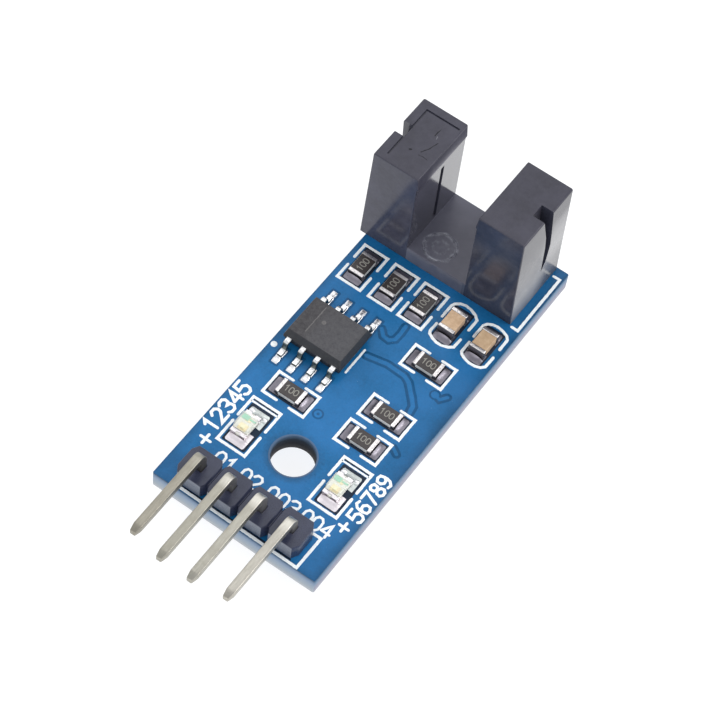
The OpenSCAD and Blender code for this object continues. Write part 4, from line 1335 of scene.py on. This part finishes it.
def make_housing():
    lo, hi = mmbox("slot_housing")
    H = hi[2] - BT
    wt, wb = 6.3, 6.56
    si, br = 2.5, 1.4
    # right half from the foot up and over: tower, sloped lip, inner wall, bridge
    half = [(wb, 0.0, 0), (wt, H, 0.16), (si + 0.03, H, 0.12), (si - 0.09, H - 1.2, 0.08),
            (si, H - 1.29, 0), (si, br, 0)]
    out = rounded(half + [(-x, z, r) for x, z, r in reversed(half)])
    bm = bmesh.new()
    y0, y1 = lo[1] - HY, hi[1] - HY
    # profile drawn in (x, z), pushed along y
    add_solid(bm, out, [], -y1, -y0, 0.09, 0.09, 3, 0, None,
              lambda v: Vector((HX + v.x, HY - v.z, BT + v.y)))
    ob = finish_piece("switch_housing", bm, [M["housing"]], ["slot_housing"], sharp=30)
    for s in (-1, 1):
        cm = bmesh.new()

        def X(v):
            return HX + s * v

        def block(x0, x1, ya, yb, za, zb):
            p, q = sorted((X(x0), X(x1)))
            ring = [(p, HY + ya), (q, HY + ya), (q, HY + yb), (p, HY + yb)]
            add_loft(cm, [[Vector((u, v, BT + za)) for u, v in ring], [Vector((u, v, BT + zb)) for u, v in ring]])
        # chamber open at the foot
        block(wt - 3.0, wt - 1.1, -2.4, 2.4, -1, H - 1.2)
        cut(ob, cm)
        cm = bmesh.new()
        # light slit
        block(si - 0.5, wt - 2.5, 0.05, 0.45, br + 0.3, H - 1.95)
        cut(ob, cm)
        cm = bmesh.new()
        # outer notch, leaning back and closing near the foot
        nd = 0.98 if s > 0 else 0.8
        prof = [(-0.575, H + 1), (-0.575, H), (0.15, 7.0), (0.33, 5.5), (0.36, 2.7), (0.85, 3.5), (1.08, 5.2),
                (0.95, 6.6), (0.575, H), (0.575, H + 1)]
        rings = []
        for xx in (wt - nd, wt + 1):
            rings.append([Vector((X(xx), HY + p, BT + q)) for p, q in prof])
        add_loft(cm, rings)
        cut(ob, cm)
        if s > 0:
            continue
        cm = bmesh.new()
        # joint lines of the top plate, which show on the left tower
        block(wt - 0.88, wt - 0.72, -2.5, 2.35, H - 0.12, H + 1)
        cut(ob, cm)
        cm = bmesh.new()
        block(si + 0.25, wt - 0.74, 2.25, 2.41, H - 0.12, H + 1)
        cut(ob, cm)
    # round mould mark on the slot's floor
    cm = bmesh.new()
    c = (HX - 0.7, HY - 1.54)
    z0, z1 = BT + br - 0.05, BT + br + 1
    rings = []
    for k in range(56):
        q = 2 * math.pi * k / 56
        rings.append([Vector((c[0] + r * math.cos(q), c[1] + r * math.sin(q), z))
                      for r, z in ((1.17, z0), (1.25, z0), (1.30, BT + br), (1.30, z1), (1.12, z1), (1.12, BT + br))])
    add_loft(cm, rings, closed=True)
    cut(ob, cm)
    # fine scratches on the left tower's top
    bm = bmesh.new()
    rnd = random.Random(3)
    z = hi[2]
    for path, w, mi in SCRATCHES:
        ribbon(bm, path, w, z - 0.02, z + 0.003, False, mi, rnd, 0.12, 0.018, 0.02)
    finish_piece("switch_housing_scratches", bm, [M["scuff"], M["scuff_pale"]])
    return ob


# =====================================================================
# build
# =====================================================================
make_board()
make_hole_ring()
make_tracks()
make_gaps()
make_silk()
make_pads()
make_resistors()
make_capacitors()
make_leds()
make_comparator()
make_header()
make_pins()
make_joints()
make_housing()

for ob in list(COLL.objects):
    if ob.type == "MESH" and ob.name in ("board", "switch_housing", "header_insulator", "comparator_package") \
            or ob.name.endswith(("_chip", "_block", "_carrier")):
        wn = ob.modifiers.new("wn", "WEIGHTED_NORMAL")
        wn.keep_sharp = True
        wn.weight = 90

for node, mat in (("ir_emitter", "emitter"), ("photo_detector", "detector"),
                  ("emitter_leads", "wire"), ("detector_leads", "wire")):
    ob = NODES[node]
    if not ob.data.materials:
        ob.data.materials.append(M[mat])
    for k in range(len(ob.material_slots)):
        ob.material_slots[k].link = "DATA"
        ob.material_slots[k].material = M[mat]

# =====================================================================
# floor, light, camera
# =====================================================================
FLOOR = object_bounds()[0][2]


def make_floor():
    bm = bmesh.new()
    r = 1.2
    vs = [bm.verts.new((x, y, FLOOR)) for x, y in ((-r, -r), (r, -r), (r, r), (-r, r))]
    bm.faces.new(vs)
    me = bpy.data.meshes.new("floor")
    bm.to_mesh(me)
    bm.free()
    g = G("floor_white", base=(0.26, 0.26, 0.26), rough=0.8, spec=0.2)
    n = g.noise(0.02, 2.0)
    g.set(Base_Color=g.mix(n, (0.25, 0.25, 0.25), (0.28, 0.28, 0.28)))
    g.b.inputs["Emission Color"].default_value = (1, 1, 1, 1)
    g.b.inputs["Emission Strength"].default_value = 0.84
    me.materials.append(g.m)
    ob = bpy.data.objects.new("floor", me)
    COLL.objects.link(ob)


make_floor()

world = bpy.data.worlds.new("soft_white")
SCENE.world = world
world.use_nodes = True
nt = world.node_tree
bg = nt.nodes["Background"]
bg.inputs["Strength"].default_value = 1.0
wc = nt.nodes.new("ShaderNodeTexCoord")
wx = nt.nodes.new("ShaderNodeSeparateXYZ")
wr = nt.nodes.new("ShaderNodeValToRGB")
nt.links.new(wc.outputs["Generated"], wx.inputs[0])
nt.links.new(wx.outputs[2], wr.inputs[0])
nt.links.new(wr.outputs[0], bg.inputs["Color"])
e = wr.color_ramp.elements
e[0].position, e[0].color = 0.0, (1.25, 1.27, 1.31, 1)
e[1].position, e[1].color = 1.0, (0.70, 0.71, 0.74, 1)
k = e.new(0.45)
k.color = (1.0, 1.01, 1.03, 1)


def area(name, loc, target, size, power, color=(1, 1, 1)):
    l = bpy.data.lights.new(name, "AREA")
    l.shape = "RECTANGLE"
    l.size, l.size_y = size
    l.energy = power
    l.color = color
    o = bpy.data.objects.new(name, l)
    o.location = loc
    d = Vector(target) - Vector(loc)
    o.rotation_euler = d.to_track_quat("-Z", "Y").to_euler()
    COLL.objects.link(o)
    return o


area("key", (0.26, 0.14, 0.26), (0, 0.008, 0), (0.20, 0.20), 0.55, (1.0, 0.99, 0.97))
area("front", (0.03, -0.36, 0.26), (0, 0.008, 0), (0.30, 0.30), 0.32)
area("back", (-0.10, 0.196, 0.34), (0, 0.008, 0), (0.24, 0.24), 0.19)

RIGHT = Vector((0.81234509, 0.5779099, 0.07820232))
DOWN = Vector((0.52596728, -0.66811415, -0.5262907))
FWD = Vector((-0.25190053, 0.46866153, -0.84670095))
cam_data = bpy.data.cameras.new("camera")
cam = bpy.data.objects.new("camera", cam_data)
COLL.objects.link(cam)
m = Matrix.Identity(4)
for r in range(3):
    m[r][0] = RIGHT[r]
    m[r][1] = -DOWN[r]
    m[r][2] = -FWD[r]
m[0][3], m[1][3], m[2][3] = 0.04407324, -0.07454390, 0.15275383
cam.matrix_world = m
cam_data.sensor_width = 36.0
cam_data.sensor_fit = "HORIZONTAL"
cam_data.lens = 2548.607 * 36.0 / 720.0
cam_data.clip_start = 0.005
cam_data.clip_end = 10.0
SCENE.camera = cam
SCENE.view_settings.view_transform = "Standard"
SCENE.view_settings.look = "None"
SCENE.view_settings.exposure = 0.0
SCENE.view_settings.gamma = 1.0
